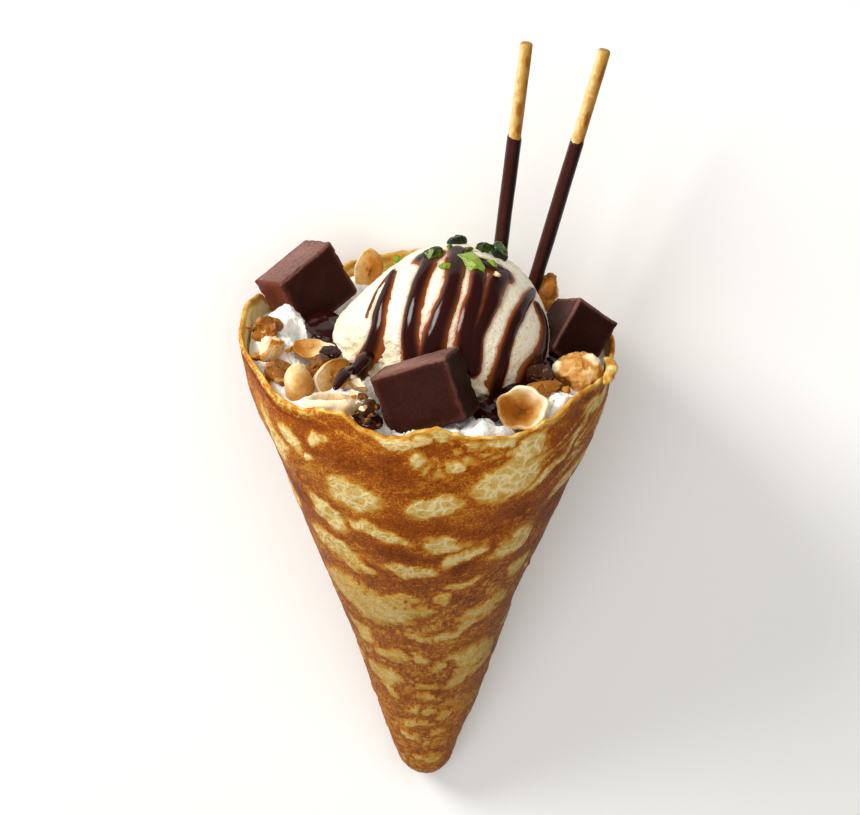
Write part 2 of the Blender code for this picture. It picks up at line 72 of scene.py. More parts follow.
MOUTH_RADIUS = 52.4
HALF_ANGLE = math.radians(18.1)
SLOPE = math.tan(HALF_ANGLE)
CURL_START, CURL_IN = -22.0, 2.6          # the wall curls in towards the rim above this height
TIP_CAP, TIP_LENGTH = -135.0, 8.0         # height and length of the rounded tip
TIP_LEAN, TIP_SKEW, TIP_TAPER = -1.2, 0.2, 0.78
THIN_OVER = 24.0                          # the wall thins to the rim over this height
INNER_TIP = -131.0
RIM_FOLLOWED = -30.0                      # rings above this level rise and fall with the rim
CREPE_COLUMNS = (310, 156)                # columns round the cone on its shown and its hidden half
INSIDE_LEVELS = (-34.0, -46.0, -62.0, -84.0, -106.0, -122.0)
RUFFLE, RIM_RAGGED = 0.45, 0.42
WALL_SWELLS = (                           # (degrees from +X, height, spread, rise)
    (0, -18.0, 17.0, 1.5), (0, -76.0, 36.0, -2.5), (180, -14.0, 18.0, 1.3), (180, -52.0, 18.0, 0.7),
    (158, 4.0, 8.0, 1.6),
)
SEAM_ANGLE, SEAM_STEP = math.radians(160.0), 1.1
LIP_FROM, LIP_TO = math.radians(178.0), math.radians(238.0)
LIP_DROP, LIP_STEP = 4.0, 0.9
RIM_HEIGHTS = (                           # (degrees from +X, height)
    (0, -2.8), (15, -3.0), (30, -4.6), (45, -7.0), (60, -3.6), (78, 0.6), (95, 1.8), (116, 1.2),
    (136, -4.0), (148, -2.4), (158, 3.6), (166, 4.8), (178, 2.8), (190, 1.6), (207, 2.0), (225, -0.2),
    (237, 2.4), (242, 2.7), (250, -0.9), (258, -1.9), (270, 1.2), (284, -2.4), (295, -3.7),
    (310, -2.0), (320, 0.2), (337, -0.7), (348, -1.3),
)
FLAT_DEPTH = 1.5                          # how far the back is pressed in where the cone lies on it
DIM_RIGHT = 0.32                          # how much painted shade darkens the crepe at the right
# The loose curl of the rim: its route and its half width at each point
RIM_CURL = (
    (46.6, -8.0, -0.9), (48.2, -12.4, -0.1), (48.3, -16.6, 0.1), (47.4, -20.2, -0.1),
    (46.0, -23.4, -0.8),
)
CURL_HALVES = (0.7, 1.5, 1.8, 1.4, 0.6)

# Pale patches of the crepe: (degrees from +X, height, half width, half height, rise to the right)
PALE_PATCHES = (
    (241, -26, 8.0, 7.0, -4), (272, -26, 9.0, 3.2, 4), (296, -19, 8.5, 6.5, 24),
    (302, -9, 6.5, 3.4, 50), (273, -0.6, 4.2, 3.0, -10), (266, -3, 2.0, 2.2, 60),
    (284, -4.5, 2.2, 2.0, -30), (292, -5.5, 3.4, 2.2, 10), (279, -12, 3.4, 2.8, 5),
    (267, -10, 3.2, 2.6, 20), (251, -38, 8.5, 2.8, -6), (274, -41.5, 6.8, 3.0, 5),
    (308, -46, 8.0, 4.4, 30), (227, -37, 5.6, 3.6, -52), (226, -50, 9.5, 4.2, -30),
    (238, -55, 6.0, 2.4, -10), (261, -52, 6.5, 2.8, -4), (284, -46.5, 7.0, 2.6, 22),
    (238, -69, 11.0, 7.0, -8), (222, -66, 8.0, 7.0, -30), (298, -72, 8.5, 4.2, 26),
    (220, -84, 6.6, 3.6, -24), (243, -89.5, 5.6, 2.6, -8), (229, -99, 6.0, 4.0, -14),
    (306, -92, 6.5, 8.0, 40), (292, -98, 5.0, 3.4, 30), (268, -105, 4.2, 1.7, 2),
    (266, -100, 3.4, 1.5, 4), (265, -89.5, 3.2, 1.9, 6), (209, -17, 9.0, 5.0, -56),
    (316, -18, 13.0, 1.9, 37), (330, -30, 8.0, 2.2, 40), (259, -3.6, 5.5, 1.7, -12),
    (229, -16, 2.4, 1.6, -30), (221, -12, 5.0, 3.0, -46), (233, -8, 2.6, 1.6, 10),
    (283, -58, 5.5, 1.7, 16), (276, -63, 3.6, 1.7, 8), (262, -68, 4.8, 1.4, -4),
    (264, -79, 4.2, 1.3, -8), (281, -78, 4.6, 1.7, 14), (254, -64, 3.6, 1.6, 0),
    (286, -88, 3.6, 1.6, 22), (276, -93, 2.2, 1.3, 8), (250, -111, 3.0, 1.6, -6),
    (258, -117, 5.0, 1.5, -4), (292, -113, 2.6, 1.6, 28), (272, -112, 2.0, 1.0, 8),
    (244, -122, 3.0, 2.2, -20), (286, -122, 3.0, 1.6, 24), (268, -133, 3.6, 1.6, 0),
    (236, -105, 3.0, 2.0, -18), (318, -58, 5.0, 3.0, 34),
)
BACK_PATCHES = 74                         # further pale patches strewn over the sides and the back
DARK_BANDS = (                            # (height, half height, strength) of the browner bands
    (-33, 4.5, 0.13), (-45, 3.0, 0.1), (-60, 4.0, 0.14), (-124, 9.0, 0.04), (-15, 4.0, 0.03),
)
NET_ZONE = (278, -8.5, 20.0, 8.0, 0)      # the finely netted stretch below the rim, as a patch

# Lighter, golden stretches of the ground: (degrees from +X, height, half width, half height, rise, share)
GOLDEN_ZONES = (
    (203, -14, 16.0, 9.0, -50, 1.0), (228, -20, 14.0, 7.0, -30, 0.6), (246, -8, 10.0, 6.0, -16, 0.45),
    (336, -16, 14.0, 12.0, 40, 0.6), (276, -30, 26.0, 6.0, 6, 0.45), (262, -68, 12.0, 8.0, 0, 0.5),
    (272, -86, 14.0, 10.0, 4, 0.5), (262, -108, 18.0, 10.0, 0, 0.35), (212, -60, 16.0, 24.0, -40, 0.5),
    (318, -84, 12.0, 22.0, 36, 0.55),
)

# Whipped cream: level round the rim, lower in the middle, raised in swirls (x, y, radius, height)
CREAM_LEVEL, CREAM_MIDDLE = -3.8, -7.5
CREAM_COLUMNS, CREAM_ROWS = 380, 120
CREAM_BELOW = (-122.0, -100.0, -70.0, -46.0, -30.0, -22.0, -15.0, -10.0, -7.0)
CREAM_GAP = 0.3                           # between the cream and the inside of the wall
CREAM_SWIRLS = (
    (-39.0, 8.2, 5.4, 8.2), (-33.4, 4.0, 3.6, 4.4), (-41.0, 1.0, 4.0, 6.4), (-37.5, -5.5, 4.2, 5.4),
    (-19.0, -31.0, 8.0, 2.4), (30.0, 31.0, 10.0, 1.2), (17.0, -41.0, 6.0, 2.0),
    (-26.0, 36.0, 10.0, 1.4), (35.0, -31.0, 6.0, 3.4), (-15.9, -22.6, 3.4, 6.0),
    (-15.0, -44.0, 3.6, 3.6), (34.0, -38.0, 3.4, 4.6), (14.2, -46.6, 3.0, 5.2),
    (-38.0, -14.0, 9.0, 1.6), (-28.0, -26.0, 9.0, 2.4), (20.5, -44.0, 3.0, 4.6), (6.4, -48.0, 3.0, 4.0),
    (28.5, -41.5, 2.6, 3.4), (12.0, -43.0, 6.0, 3.0), (24.3, -33.0, 6.0, -3.6),
)

# Vanilla ice cream: (azimuth, elevation, spread, height) of the foot that the scoop leaves
SCOOP_CENTRE = np.array((6.8, 0.0, 0.9))
SCOOP_RADIUS = 25.3
SCOOP_BULGES = (
    (184, 4, 24, 6.2), (205, -16, 26, 4.0), (235, -20, 22, 2.2), (282, -18, 24, 1.6),
    (322, -22, 24, 1.8), (150, -10, 26, 2.6),
)

TORN_AT = (229, 10, 11)                   # azimuth, elevation and spread of the torn spot in its foot

# Sauce on the ball: half widths, thickness and the route in (azimuth, elevation)
SAUCE_RUNS = (
    ((2.6, 2.2, 2.3, 2.3, 2.3, 2.7), 1.15,
     ((165, 74), (211, 69), (229, 52), (235, 37), (238, 26), (243, 13))),
    ((2.6, 2.1, 2.6, 3.0, 3.3), 1.1, ((69, 86), (266, 62), (260, 45), (256, 29), (254, 14))),
    ((2.0, 2.1, 2.5, 2.8, 3.0), 1.0, ((316, 70), (291, 54), (281, 41), (277, 28), (275, 12))),
    ((2.4, 2.6, 2.3, 1.9, 1.9, 2.1), 1.0, ((343, 58), (322, 57), (302, 47), (291, 37), (284, 28), (280, 9))),
    ((1.2, 1.6, 1.7, 1.8, 1.9, 2.0, 2.2, 1.7), 0.9,
     ((357, 35), (340, 37), (327, 35), (313, 29), (305, 21), (300, 13), (296, 4), (292, -8))),
    ((1.3, 2.3, 2.8, 3.0, 2.4), 0.9, ((347, 29), (346, 15), (335, 5), (322, 0), (312, -8))),
    ((0.9, 1.5, 1.8, 1.9, 1.9, 1.8, 2.0, 2.2), 1.0,
     ((180, 50), (194, 44), (203, 37), (208, 30), (213, 23), (215, 15), (215, 9), (213, -2))),
    ((0.9, 0.5, 0.45, 0.4), 0.22, ((173, 48), (185, 39), (195, 31), (201, 24))),
    ((2.4, 2.6, 2.6), 0.8, ((318, 79), (338, 68), (343, 57))),
    ((3.0, 2.8), 0.9, ((176, 71), (168, 77))),
    ((2.4, 3.0), 0.9, ((263, 14), (263, 4))),
)
SAUCE_SPREAD = 1.16                       # how much wider than its half widths a run spreads
SAUCE_SUNK = 0.7                          # how deep the sauce's skin dives beside a run
ROUTE_SAMPLES = 140                       # points of each run's route that the distance is taken from
SAUCE_WALL = 0.5                          # thickness of the sauce's skin
POOL_FILM, POOL_ROUGH = 1.2, 0.16         # how dark the pools are, and how uneven

# Sauce beside the ball, in pools: (x, y, z), (half sizes), heading and tilt
SAUCE_POOLS = (
    ((-28.2, 4.6, 1.6), (5.8, 8.2, 2.6), 24, 0), ((-26.0, -7.5, 1.4), (3.8, 5.6, 1.6), -20, 0),
    ((14.6, -31.6, -3.6), (3.6, 6.0, 2.2), 10, 0), ((28.0, -12.0, -1.8), (6.0, 6.0, 2.2), 0, 0),
    ((-18.5, -13.0, -0.6), (3.4, 3.6, 1.8), 0, 0), ((23.5, -22.5, -3.0), (5.0, 5.0, 1.8), 0, 0),
    # The last pool, among the front crumbs, is a dark sheet of painted shade between them.
    ((-28.6, -3.0, 0.6), (3.6, 5.4, 2.0), 12, 0), ((-16.2, -41.4, -0.9), (3.4, 5.0, 1.6), 30, 0),
)
# Thick drops that run over the nuts: route and half width at each point
SAUCE_DROPS = (
    (((-15.2, -14.6, 4.6), (-17.6, -19.4, 4.6), (-20.4, -25.0, 3.4)), (1.5, 2.0, 1.2)),
    (((-20.6, -23.0, 4.4), (-22.6, -28.4, 5.2), (-24.9, -34.6, 4.2)), (1.2, 1.8, 1.0)),
)

# Chopped pistachio: centre, size, heading and tilt, seed and tone (0 bright green, 1 dark green of painted
# shade)
PISTACHIOS = (
    ((0.8, -0.8, 26.0), (7.4, 4.6, 4.8), (24, 10), 1, 0.8),
    ((4.4, -6.2, 25.4), (4.4, 3.0, 2.8), (-10, 0), 2, 0.2),
    ((7.2, 10.4, 24.8), (5.8, 3.8, 4.4), (8, -6), 3, 1.0),
    ((11.2, -4.2, 25.2), (13.0, 6.2, 5.2), (-52, -13), 14, 0.2),
    ((14.4, 5.2, 25.2), (6.2, 4.8, 4.4), (-10, 0), 5, 1.05),
    ((18.6, 5.2, 23.8), (5.4, 5.0, 7.2), (60, 20), 6, 0.85),
    ((16.4, -3.0, 24.8), (4.0, 2.4, 2.6), (-40, -10), 7, 0.15),
    ((-8.6, 8.6, 20.2), (3.0, 2.4, 2.4), (40, 0), 8, 0.2),
    ((10.4, 2.6, 26.2), (2.6, 2.0, 1.8), (20, 0), 10, 0.6),
    ((5.2, 3.4, 26.4), (2.2, 1.8, 1.6), (50, 0), 11, 0.7),
)

# Chocolate blocks: name, size, middle, turn about X, Y and Z, how much darker the unlit faces are, and
# how much redder the side face that is turned to the light is
BLOCKS = (
    ("left", (13.0, 20.0, 17.0), (-34.0, 20.4, 5.5), (19, -19, -52), 0.16, 0.8),
    ("front", (21.8, 13.2, 17.6), (-1.2, -34.6, 3.3), (-15, -23, -11), 0.5, 0.0),
    ("right", (17.0, 13.2, 16.6), (38.6, 4.6, -1.4), (137, -27, -66), 0.5, 0.0),
)
KEY_FROM = np.array((-0.75, -0.42, 0.47))  # the side that the light comes from

# Biscuit sticks: name, the point where each leaves the toppings, and its upper end
STICKS = (
    ("left", (19.4, 26.4, 14.7), (25.9, 34.0, 72.4)),
    ("right", (28.4, 26.6, 1.6), (47.1, 36.0, 69.4)),
)
STICK_LENGTH, BARE_LENGTH = 111.0, 26.4
STICK_SIDES = 36
# Scorched blotches: mm below the upper end, degrees from the shown side, half length
SCORCHES = {
    "left": ((5.0, 38, 2.7), (11.6, 55, 2.3), (18.6, 14, 2.7), (24.0, 30, 1.6), (9.0, -150, 3.0),
             (20.0, 170, 2.6)),
    "right": ((7.0, 40, 3.8), (19.8, 32, 3.0), (25.4, 50, 1.2), (12.0, -160, 3.2), (22.0, 160, 2.4)),
}

# Hazelnut halves: middle of the open face, where it looks (azimuth, elevation), turn, length, width,
# depth, number of lobes, depth of the hollow as a share of the depth (it also sets the painted shade in the
# hollow), length of the crease, roughness, how much darker it is, and how much painted shade darkens it to
# the right and upwards
HALVES = {
    "hazelnut_half_back":
        ((-17.2, 38.0, 1.0), (262, 28), 84, 12.6, 8.4, 5.0, 2, 0.12, 0.0, 0.14, 0.04, (0.36, 0)),
    "hazelnut_half_front_right":
        ((24.1, -35.2, -1.0), (262, 40), 10, 13.8, 12.0, 5.6, 5, 0.85, 0.0, 0.12, -0.24, (-0.34, -0.2)),
    "hazelnut_half_front_left":
        ((-25.4, -24.0, 2.0), (300, 30), 25, 11.8, 8.8, 5.4, 3, 0.04, 0.0, 0.14, 0.1, (0.36, 0.06)),
    "hazelnut_half_left_rim":
        ((-34.4, -25.0, 0.2), (84, 10), 84, 14.4, 8.4, 5.0, 2, 0.1, 0.0, 0.16, -0.02, (0.24, -0.14)),
    "hazelnut_half_ragged":
        ((-25.2, -35.6, 1.7), (80, 76), 12, 15.4, 8.2, 5.6, 4, 0.9, 0.0, 0.6, -0.3, (0.06, 0.0)),
    "nut_slice_left":
        ((-31.2, -9.6, 3.0), (285, 62), -12, 11.4, 6.0, 4.6, 3, 0.06, 0.0, 0.4, -0.06, (-0.34, 0.1)),
}

# Nut pieces: middle, heading, tilt and roll, length, width, height, seed and tone (0 pale, 1 dark)
NUT_PIECES = {
    "nut_piece_back_right": ((32.6, 26.6, -0.6), (60, 66, 10), 12.8, 7.6, 6.4, 5, 0.44),
    "nut_piece_right": ((28.6, -25.6, -2.6), (22, 6, 0), 16.6, 7.0, 7.4, 7, 0.56),
    "nut_piece_dark": ((28.6, -20.4, 0.0), (-30, 20, 40), 9.8, 7.2, 7.0, 8, 1.4),
    "nut_piece_left_ragged": ((-43.0, -9.4, 3.0), (70, 24, 10), 10.6, 8.0, 5.4, 11, 0.3),
    "nut_piece_left_top": ((-44.4, -1.0, 3.8), (20, 14, 20), 9.6, 7.0, 5.8, 9, 0.58),
    "nut_chunk_left": ((-40.4, -18.8, -0.8), (-50, 14, 20), 13.0, 9.6, 8.4, 15, 0.56),
    "nut_piece_left_middle": ((-29.6, -15.4, 0.4), (40, 0, 20), 8.6, 7.4, 5.6, 17, 0.8),
    "nut_crumb_front": ((-16.2, -38.8, 0.4), (60, 20, 0), 6.8, 5.2, 6.0, 19, 0.95),
}
# Crumbs of nut: middle, size and tone
CRUMBS = (
    ((-48.0, -1.8, 4.6), 4.2, 0.75), ((-45.2, 0.4, 6.0), 4.5, 0.6), ((-41.9, -3.4, 6.0), 3.6, 0.7),
    ((-41.3, -1.8, 7.0), 2.2, 0.65), ((-43.9, -6.0, 5.6), 3.6, 0.5),
    ((-37.6, -10.0, 2.4), 3.4, 0.6), ((-28.0, -14.0, 1.4), 4.2, 0.9), ((-19.8, -34.5, 2.4), 3.4, 0.15),
    ((-17.5, -35.5, 2.4), 3.2, 0.9), ((-15.7, -37.4, 2.0), 2.6, 1.0), ((-17.1, -40.9, 2.4), 3.2, 0.2),
    ((-18.9, -42.1, 1.4), 4.0, 1.0), ((-15.0, -43.1, 1.2), 3.2, 1.0), ((-14.0, -39.0, 1.6), 2.6, 0.9),
    ((-16.3, -44.3, 0.4), 4.0, 1.0), ((-18.6, -37.8, 2.2), 2.8, 0.1), ((-13.2, -45.0, 0.0), 3.0, 0.9),
    ((35.4, -20.0, -0.6), 4.0, 0.8), ((33.0, -23.0, -0.8), 4.4, 0.75), ((35.6, -25.0, -1.6), 3.2, 0.6),
    ((31.1, -27.0, -1.4), 3.5, 0.5), ((33.1, -29.8, -1.8), 3.0, 0.5), ((-18.8, -29.2, 2.4), 6.6, 0.24),
    ((-46.0, -12.6, 1.6), 4.0, 0.7), ((-38.6, -21.6, -0.6), 4.4, 0.7),
    ((18.0, -8.4, 24.2), 2.6, 0.1),
)
# The peeled nut: middle, size and its bumps (azimuth, elevation, spread, rise, change of tone)
PEELED = ((39.4, -15.4, -2.4), (13.8, 12.2, 12.6), (
    (346, 58, 19, 0.22, -0.5), (192, 34, 16, 0.14, -0.42), (332, 24, 24, 0.08, 0.10),
    (235, -4, 26, -0.16, 0.36), (290, 20, 22, 0.05, -0.04), (215, 62, 16, -0.07, -0.1),
    (262, 40, 12, -0.04, 0.04), (20, 40, 20, -0.06, 0.1),
))
# How pieces of nut are broken: roughness in mm, how near the middle the flats may cut, and how many
NUT_BREAK = {"rough": 0.5, "shallowest": 0.55, "cuts": 7}
CRUMB_BREAK = {"columns": 32, "rows": 20, "rough": 0.5, "shallowest": 0.45, "cuts": 9}
PISTACHIO_BREAK = {"columns": 72, "rows": 46, "rough": 0.14, "shallowest": 0.6, "cuts": 12}
CRUMB_SHAPE = np.array((1.15, 0.66, 0.56))

# Tints of the finishes that aren't for the user, and the colour that each painted shade multiplies by
TINTS = {
    "floury": "C0A478",                   # pale veil over the veined lower crepe
    "pinhole": "C9B070", "torn": "CDB67A", "soaked": "9C5A24",      # ice cream
    "bloom": "9C746A", "worn": "6A3C30", "lit": "743A26",           # cut chocolate: bloom and painted top light, edge wear and painted edge highlight, painted light on the lit side
    "unbaked": "DCC08A",                  # palest biscuit
}
CREPE_DIM, BLOCK_DIM, COAT_DIM = (0.22, 0.17, 0.13), (0.2, 0.17, 0.15), (0.16, 0.12, 0.1)

# The view: the camera stands this far from the mouth's middle, raised by this angle above the mouth's
# plane, and looks past the middle by CAMERA_AIM towards the tip
CAMERA_DISTANCE, CAMERA_RISE, CAMERA_AIM = 900.0, math.radians(30.0), 18.24
CAMERA_LENS = 139.4
VIEW_FROM = np.array((0.0, -math.cos(CAMERA_RISE), math.sin(CAMERA_RISE)))
VIEW_UP = np.array((0.0, math.sin(CAMERA_RISE), math.cos(CAMERA_RISE)))

# Studio, in metres: half the floor's width, where the lights aim, and each light's name, place, size,
# power and colour
FLOOR_HALF = 1.6
LIGHTS_AIM = Vector((0.0, 0.0, 0.04))
LIGHTS = (
    ("key", (-0.72, 0.62, 0.52), 0.42, 12.0, (1.0, 0.98, 0.95)),
    ("fill", (0.06, 0.10, 0.52), 0.62, 1.6, (1.0, 0.98, 0.96)),
    ("low", (-0.35, -0.45, 0.85), 1.0, 2.4, (1.0, 0.98, 0.96)),
)
SKY_TONE, SKY_STRENGTH = (1.0, 0.98, 0.95, 1.0), 0.28


# ---------------------------------------------------------------- sizes and colours for the user


def colour(code):
    """Linear red, green and blue of a hex colour."""
    levels = [int(code[i:i + 2], 16) / 255.0 for i in (0, 2, 4)]
    return tuple(v / 12.92 if v <= 0.04045 else ((v + 0.055) / 1.055) ** 2.4 for v in levels)


def tint_of(name):
    """The linear colour of one of TINTS."""
    return colour(TINTS[name])


def length(name, description, default):
    """A length the user can change, given in mm."""
    return FloatProperty(name=name, description=description, default=default * MM, min=0.0,
                         unit="LENGTH", subtype="DISTANCE", precision=4)


def tint(name, description, code):
    """A colour the user can change."""
    return FloatVectorProperty(name=name, description=description, default=colour(code), size=3,
                               min=0.0, max=1.0, subtype="COLOR")


class CrepeConeSizes(bpy.types.PropertyGroup):
    """Sizes of the pieces."""

    mouth_radius: length("Mouth radius", "Radius of the cone at its mouth", MOUTH_RADIUS)
    wall_thick: length("Wall", "Thickness of the wrapped crepe", 3.0)
    rim_thick: length("Rim", "Thickness of the crepe at its rim", 1.35)
    blister: length("Blisters", "Height of the baked ribs in the pale patches", 0.34)
    fluff: length("Cream peaks", "Height of the peaks of the cream", 1.7)
    pores: length("Pores", "Depth of the pores of the ice cream", 0.4)
    block_bevel: length("Block edges", "Rounding of the edges of the chocolate", 0.4)
    stick_radius: length("Biscuit radius", "Radius of the bare biscuit", 1.75)
    coat_radius: length("Coat radius", "Radius of the coated biscuit", 1.98)


class CrepeConeColours(bpy.types.PropertyGroup):
    """Colours of the finishes."""

    pale: tint("Pale crepe", "Ribs of the least baked patches", "EAD59C")
    olive: tint("Yellow crepe", "Hollows of the pale patches", "C79E44")
    golden: tint("Golden crepe", "Edges of the patches", "BE7A22")
    brown: tint("Brown crepe", "Baked surface", "84400A")
    dark: tint("Dark crepe", "Most baked spots", "541C03")
    cream: tint("Cream", "Whipped cream", "F7F5EE")
    vanilla: tint("Vanilla", "Vanilla ice cream", "F3EAD2")
    chocolate: tint("Chocolate", "Blocks", "2A0E08")
    sauce: tint("Sauce", "Chocolate sauce where it is thick", "260806")
    sauce_edge: tint("Sauce edge", "Chocolate sauce where it is thin", "5C2C10")
    coat: tint("Coat", "Chocolate on the sticks", "2E100B")
    biscuit: tint("Biscuit", "Bare biscuit", "B8883A")
    scorch: tint("Scorch", "Browned biscuit", "98560E")
    nut: tint("Nut", "Roasted nut", "A8661C")
    nut_tan: tint("Tan nut", "Roasted flesh of a nut", "CC9C56")
    nut_pale: tint("Pale nut", "Broken and peeled nut", "EEDCB8")
    # nut_dark also serves as the painted shade in the hollows.
    nut_dark: tint("Dark nut", "Skin and hollow of a nut", "3A1E0A")
    pistachio: tint("Pistachio", "Bright pistachio", "6E861A")
    pistachio_dark: tint("Dark pistachio", "Shaded side of the pistachio", "12200A")
    floor: tint("Floor", "Floor under the cone", "F2F2F0")


# ---------------------------------------------------------------- noise and curves


LATTICE = 32
LATTICE_VALUES = np.random.default_rng(7).random((LATTICE,) * 3)
LATTICE_POINTS = np.random.default_rng(11).random((LATTICE,) * 3 + (3,))


def smooth_step(value, start, end):
    """0 before start, 1 after end and an even S-curve between."""
    t = np.clip((value - start) / (end - start), 0.0, 1.0)
    return t * t * (3.0 - 2.0 * t)


def blend(a, b, part):
    """a where part is 0, b where it is 1."""
    return a + (b - a) * part


def angle_between(a, b):
    """Signed difference of two angles, wrapped to half a turn either way."""
    return (a - b + math.pi) % (2.0 * math.pi) - math.pi


def value_noise(points):
    """Smooth noise from -1 to 1: random values at whole-number points, with an S-curve between them."""
    base = np.floor(points).astype(int)
    part = points - base
    part = part * part * (3.0 - 2.0 * part)
    total = np.zeros(points.shape[:-1])
    for corner in itertools.product((0, 1), repeat=3):
        index = (base + corner) % LATTICE
        weight = np.where(np.array(corner), part, 1.0 - part).prod(axis=-1)
        total += weight * LATTICE_VALUES[index[..., 0], index[..., 1], index[..., 2]]
    return 2.0 * total - 1.0


def rough_noise(points, octaves=4, gain=0.5):
    """Sum of ever finer noise, each octave twice as fine and gain times as strong."""
    total = np.zeros(points.shape[:-1])
    weight = 1.0
    for octave in range(octaves):
        total += weight * value_noise(points * 2.0 ** octave + 9.7 * octave)
        weight *= gain
    return total


def noise_vectors(points, shifts, octaves=1):
    """Three rough noises of the same points, each shifted by its own amount, as vectors."""
    return np.stack([rough_noise(points + shift, octaves) for shift in shifts], axis=-1)


def ridged_noise(points, octaves=3):
    """Sharp crests from 0 to 1: one minus the size of the noise, squared, summed over octaves."""
    total, weight, sum_of_weights = np.zeros(points.shape[:-1]), 1.0, 0.0
    for octave in range(octaves):
        total += weight * (1.0 - np.abs(value_noise(points * 2.0 ** octave + 5.3 * octave))) ** 2
        sum_of_weights += weight
        weight *= 0.5
    return total / sum_of_weights


def cell_distances(points):
    """Distances to the nearest and the second nearest of random points, one in each unit cell."""
    base = np.floor(points).astype(int)
    first = np.full(points.shape[:-1], 9.0)
    second = first.copy()
    for step in itertools.product((-1, 0, 1), repeat=3):
        cell = base + step
        index = cell % LATTICE
        seed = cell + LATTICE_POINTS[index[..., 0], index[..., 1], index[..., 2]]
        distance = np.linalg.norm(points - seed, axis=-1)
        second = np.minimum(second, np.maximum(first, distance))
        first = np.minimum(first, distance)
    return first, second


def through(stops, values, where):
    """A smooth curve through values at rising stops: S-curves between neighbours."""
    stops, values = np.asarray(stops, float), np.asarray(values, float)
    index = np.clip(np.searchsorted(stops, where, side="right") - 1, 0, len(stops) - 2)
    part = smooth_step(where, stops[index], stops[index + 1])
    return blend(values[index], values[index + 1], part)


def spread_evenly(values, count):
    """Values at count even steps, on straight lines between the given ones."""
    return np.interp(np.linspace(0.0, 1.0, count), np.linspace(0.0, 1.0, len(values)), values)


def rounded_route(points, count):
    """Evenly spread points on a Catmull-Rom curve through the given ones."""
    points = np.asarray(points, float)
    padded = np.concatenate([2.0 * points[:1] - points[1:2], points, 2.0 * points[-1:] - points[-2:-1]])
    t = np.linspace(0.0, len(points) - 1.0, count)
    i = np.minimum(t.astype(int), len(points) - 2)
    u = (t - i).reshape(-1, *[1] * (points.ndim - 1))
    a, b, c, d = padded[i], padded[i + 1], padded[i + 2], padded[i + 3]
    return 0.5 * (2.0 * b + (c - a) * u + (2.0 * a - 5.0 * b + 4.0 * c - d) * u ** 2
                  + (3.0 * b - a - 3.0 * c + d) * u ** 3)


# ---------------------------------------------------------------- meshes


LAY_TURN = np.array(Matrix.Rotation(HALF_ANGLE - math.pi / 2.0, 3, "X"))
FRONT_BLOCK_BOX = np.array([tuple(corner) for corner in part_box("chocolate_block_front")])
LAY_MOVE = FRONT_BLOCK_BOX.mean(axis=0) / MM - LAY_TURN @ np.array(BLOCKS[1][2])


def laid_down(points):
    """Upright points in mm, laid on the cone's back and moved into the frame, in metres."""
    return (np.asarray(points) @ LAY_TURN.T + LAY_MOVE) * MM


def direction(azimuth, elevation):
    """Unit vectors from angles in radians."""
    flat = np.cos(elevation)
    return np.stack([flat * np.cos(azimuth), flat * np.sin(azimuth),
                     np.sin(elevation) + 0.0 * azimuth], axis=-1)


def round_angles(count):
    """Angles of a full turn in even steps."""
    return np.arange(count) * 2.0 * math.pi / count


def ball_grid(columns, lowest, highest, rows):
    """Azimuths, elevations and unit vectors of a grid round a ball, between two elevations in degrees."""
    azimuth, elevation = np.broadcast_arrays(round_angles(columns)[None],
                                             np.radians(np.linspace(lowest, highest, rows))[:, None])
    return azimuth, elevation, direction(azimuth, elevation)


def turned_by(degrees):
    """Matrix that turns about X, then Y, then Z."""
    return np.array(Euler([math.radians(angle) for angle in degrees], "XYZ").to_matrix())


def grid_quads(rows, columns, first=0):
    """Faces between neighbouring rows of a grid whose last column joins its first."""
    j = np.arange(columns)
    k = (j + 1) % columns
    low = first + np.arange(rows - 1)[:, None] * columns
    high = low + columns
    return np.stack([low + j, low + k, high + k, high + j], axis=-1).reshape(-1, 4)


def skin_arrays(rings, first_pole=None, last_pole=None):
    """Points, quads and triangles of a closed skin through rings, with a pole at each end.

    A pole that isn't given is the mean of the ring beside it.
    """
    count, columns = rings.shape[:2]
    first_pole = rings[0].mean(axis=0) if first_pole is None else first_pole
    last_pole = rings[-1].mean(axis=0) if last_pole is None else last_pole
    points = np.concatenate([[first_pole], rings.reshape(-1, 3), [last_pole]])
    j = np.arange(columns)
    k = (j + 1) % columns
    top = 1 + (count - 1) * columns
    last = len(points) - 1
    fans = np.concatenate([np.stack([0 * j, 1 + k, 1 + j], axis=-1),
                           np.stack([0 * j + last, top + j, top + k], axis=-1)])
    return points, grid_quads(count, columns, 1), fans


def with_poles(values, first=None, last=None):
    """Values of a grid in one row, and one for each pole: as given, or the mean of the ring beside it."""
    first = values[0].mean() if first is None else first
    last = values[-1].mean() if last is None else last
    return np.concatenate([[first], values.ravel(), [last]])


def merged(parts):
    """One set of arrays from several: points, quads, triangles and values for each point."""
    starts = np.cumsum([0] + [len(part[0]) for part in parts[:-1]])
    points, values = (np.concatenate([part[i] for part in parts]) for i in (0, 3))
    quads, fans = (np.concatenate([part[i] + start for part, start in zip(parts, starts)]) for i in (1, 2))
    return points, quads, fans, values


def put_in_scene(name, data):
    """A new object with this data, linked to the scene."""
    item = bpy.data.objects.new(name, data)
    bpy.context.scene.collection.objects.link(item)
    return item


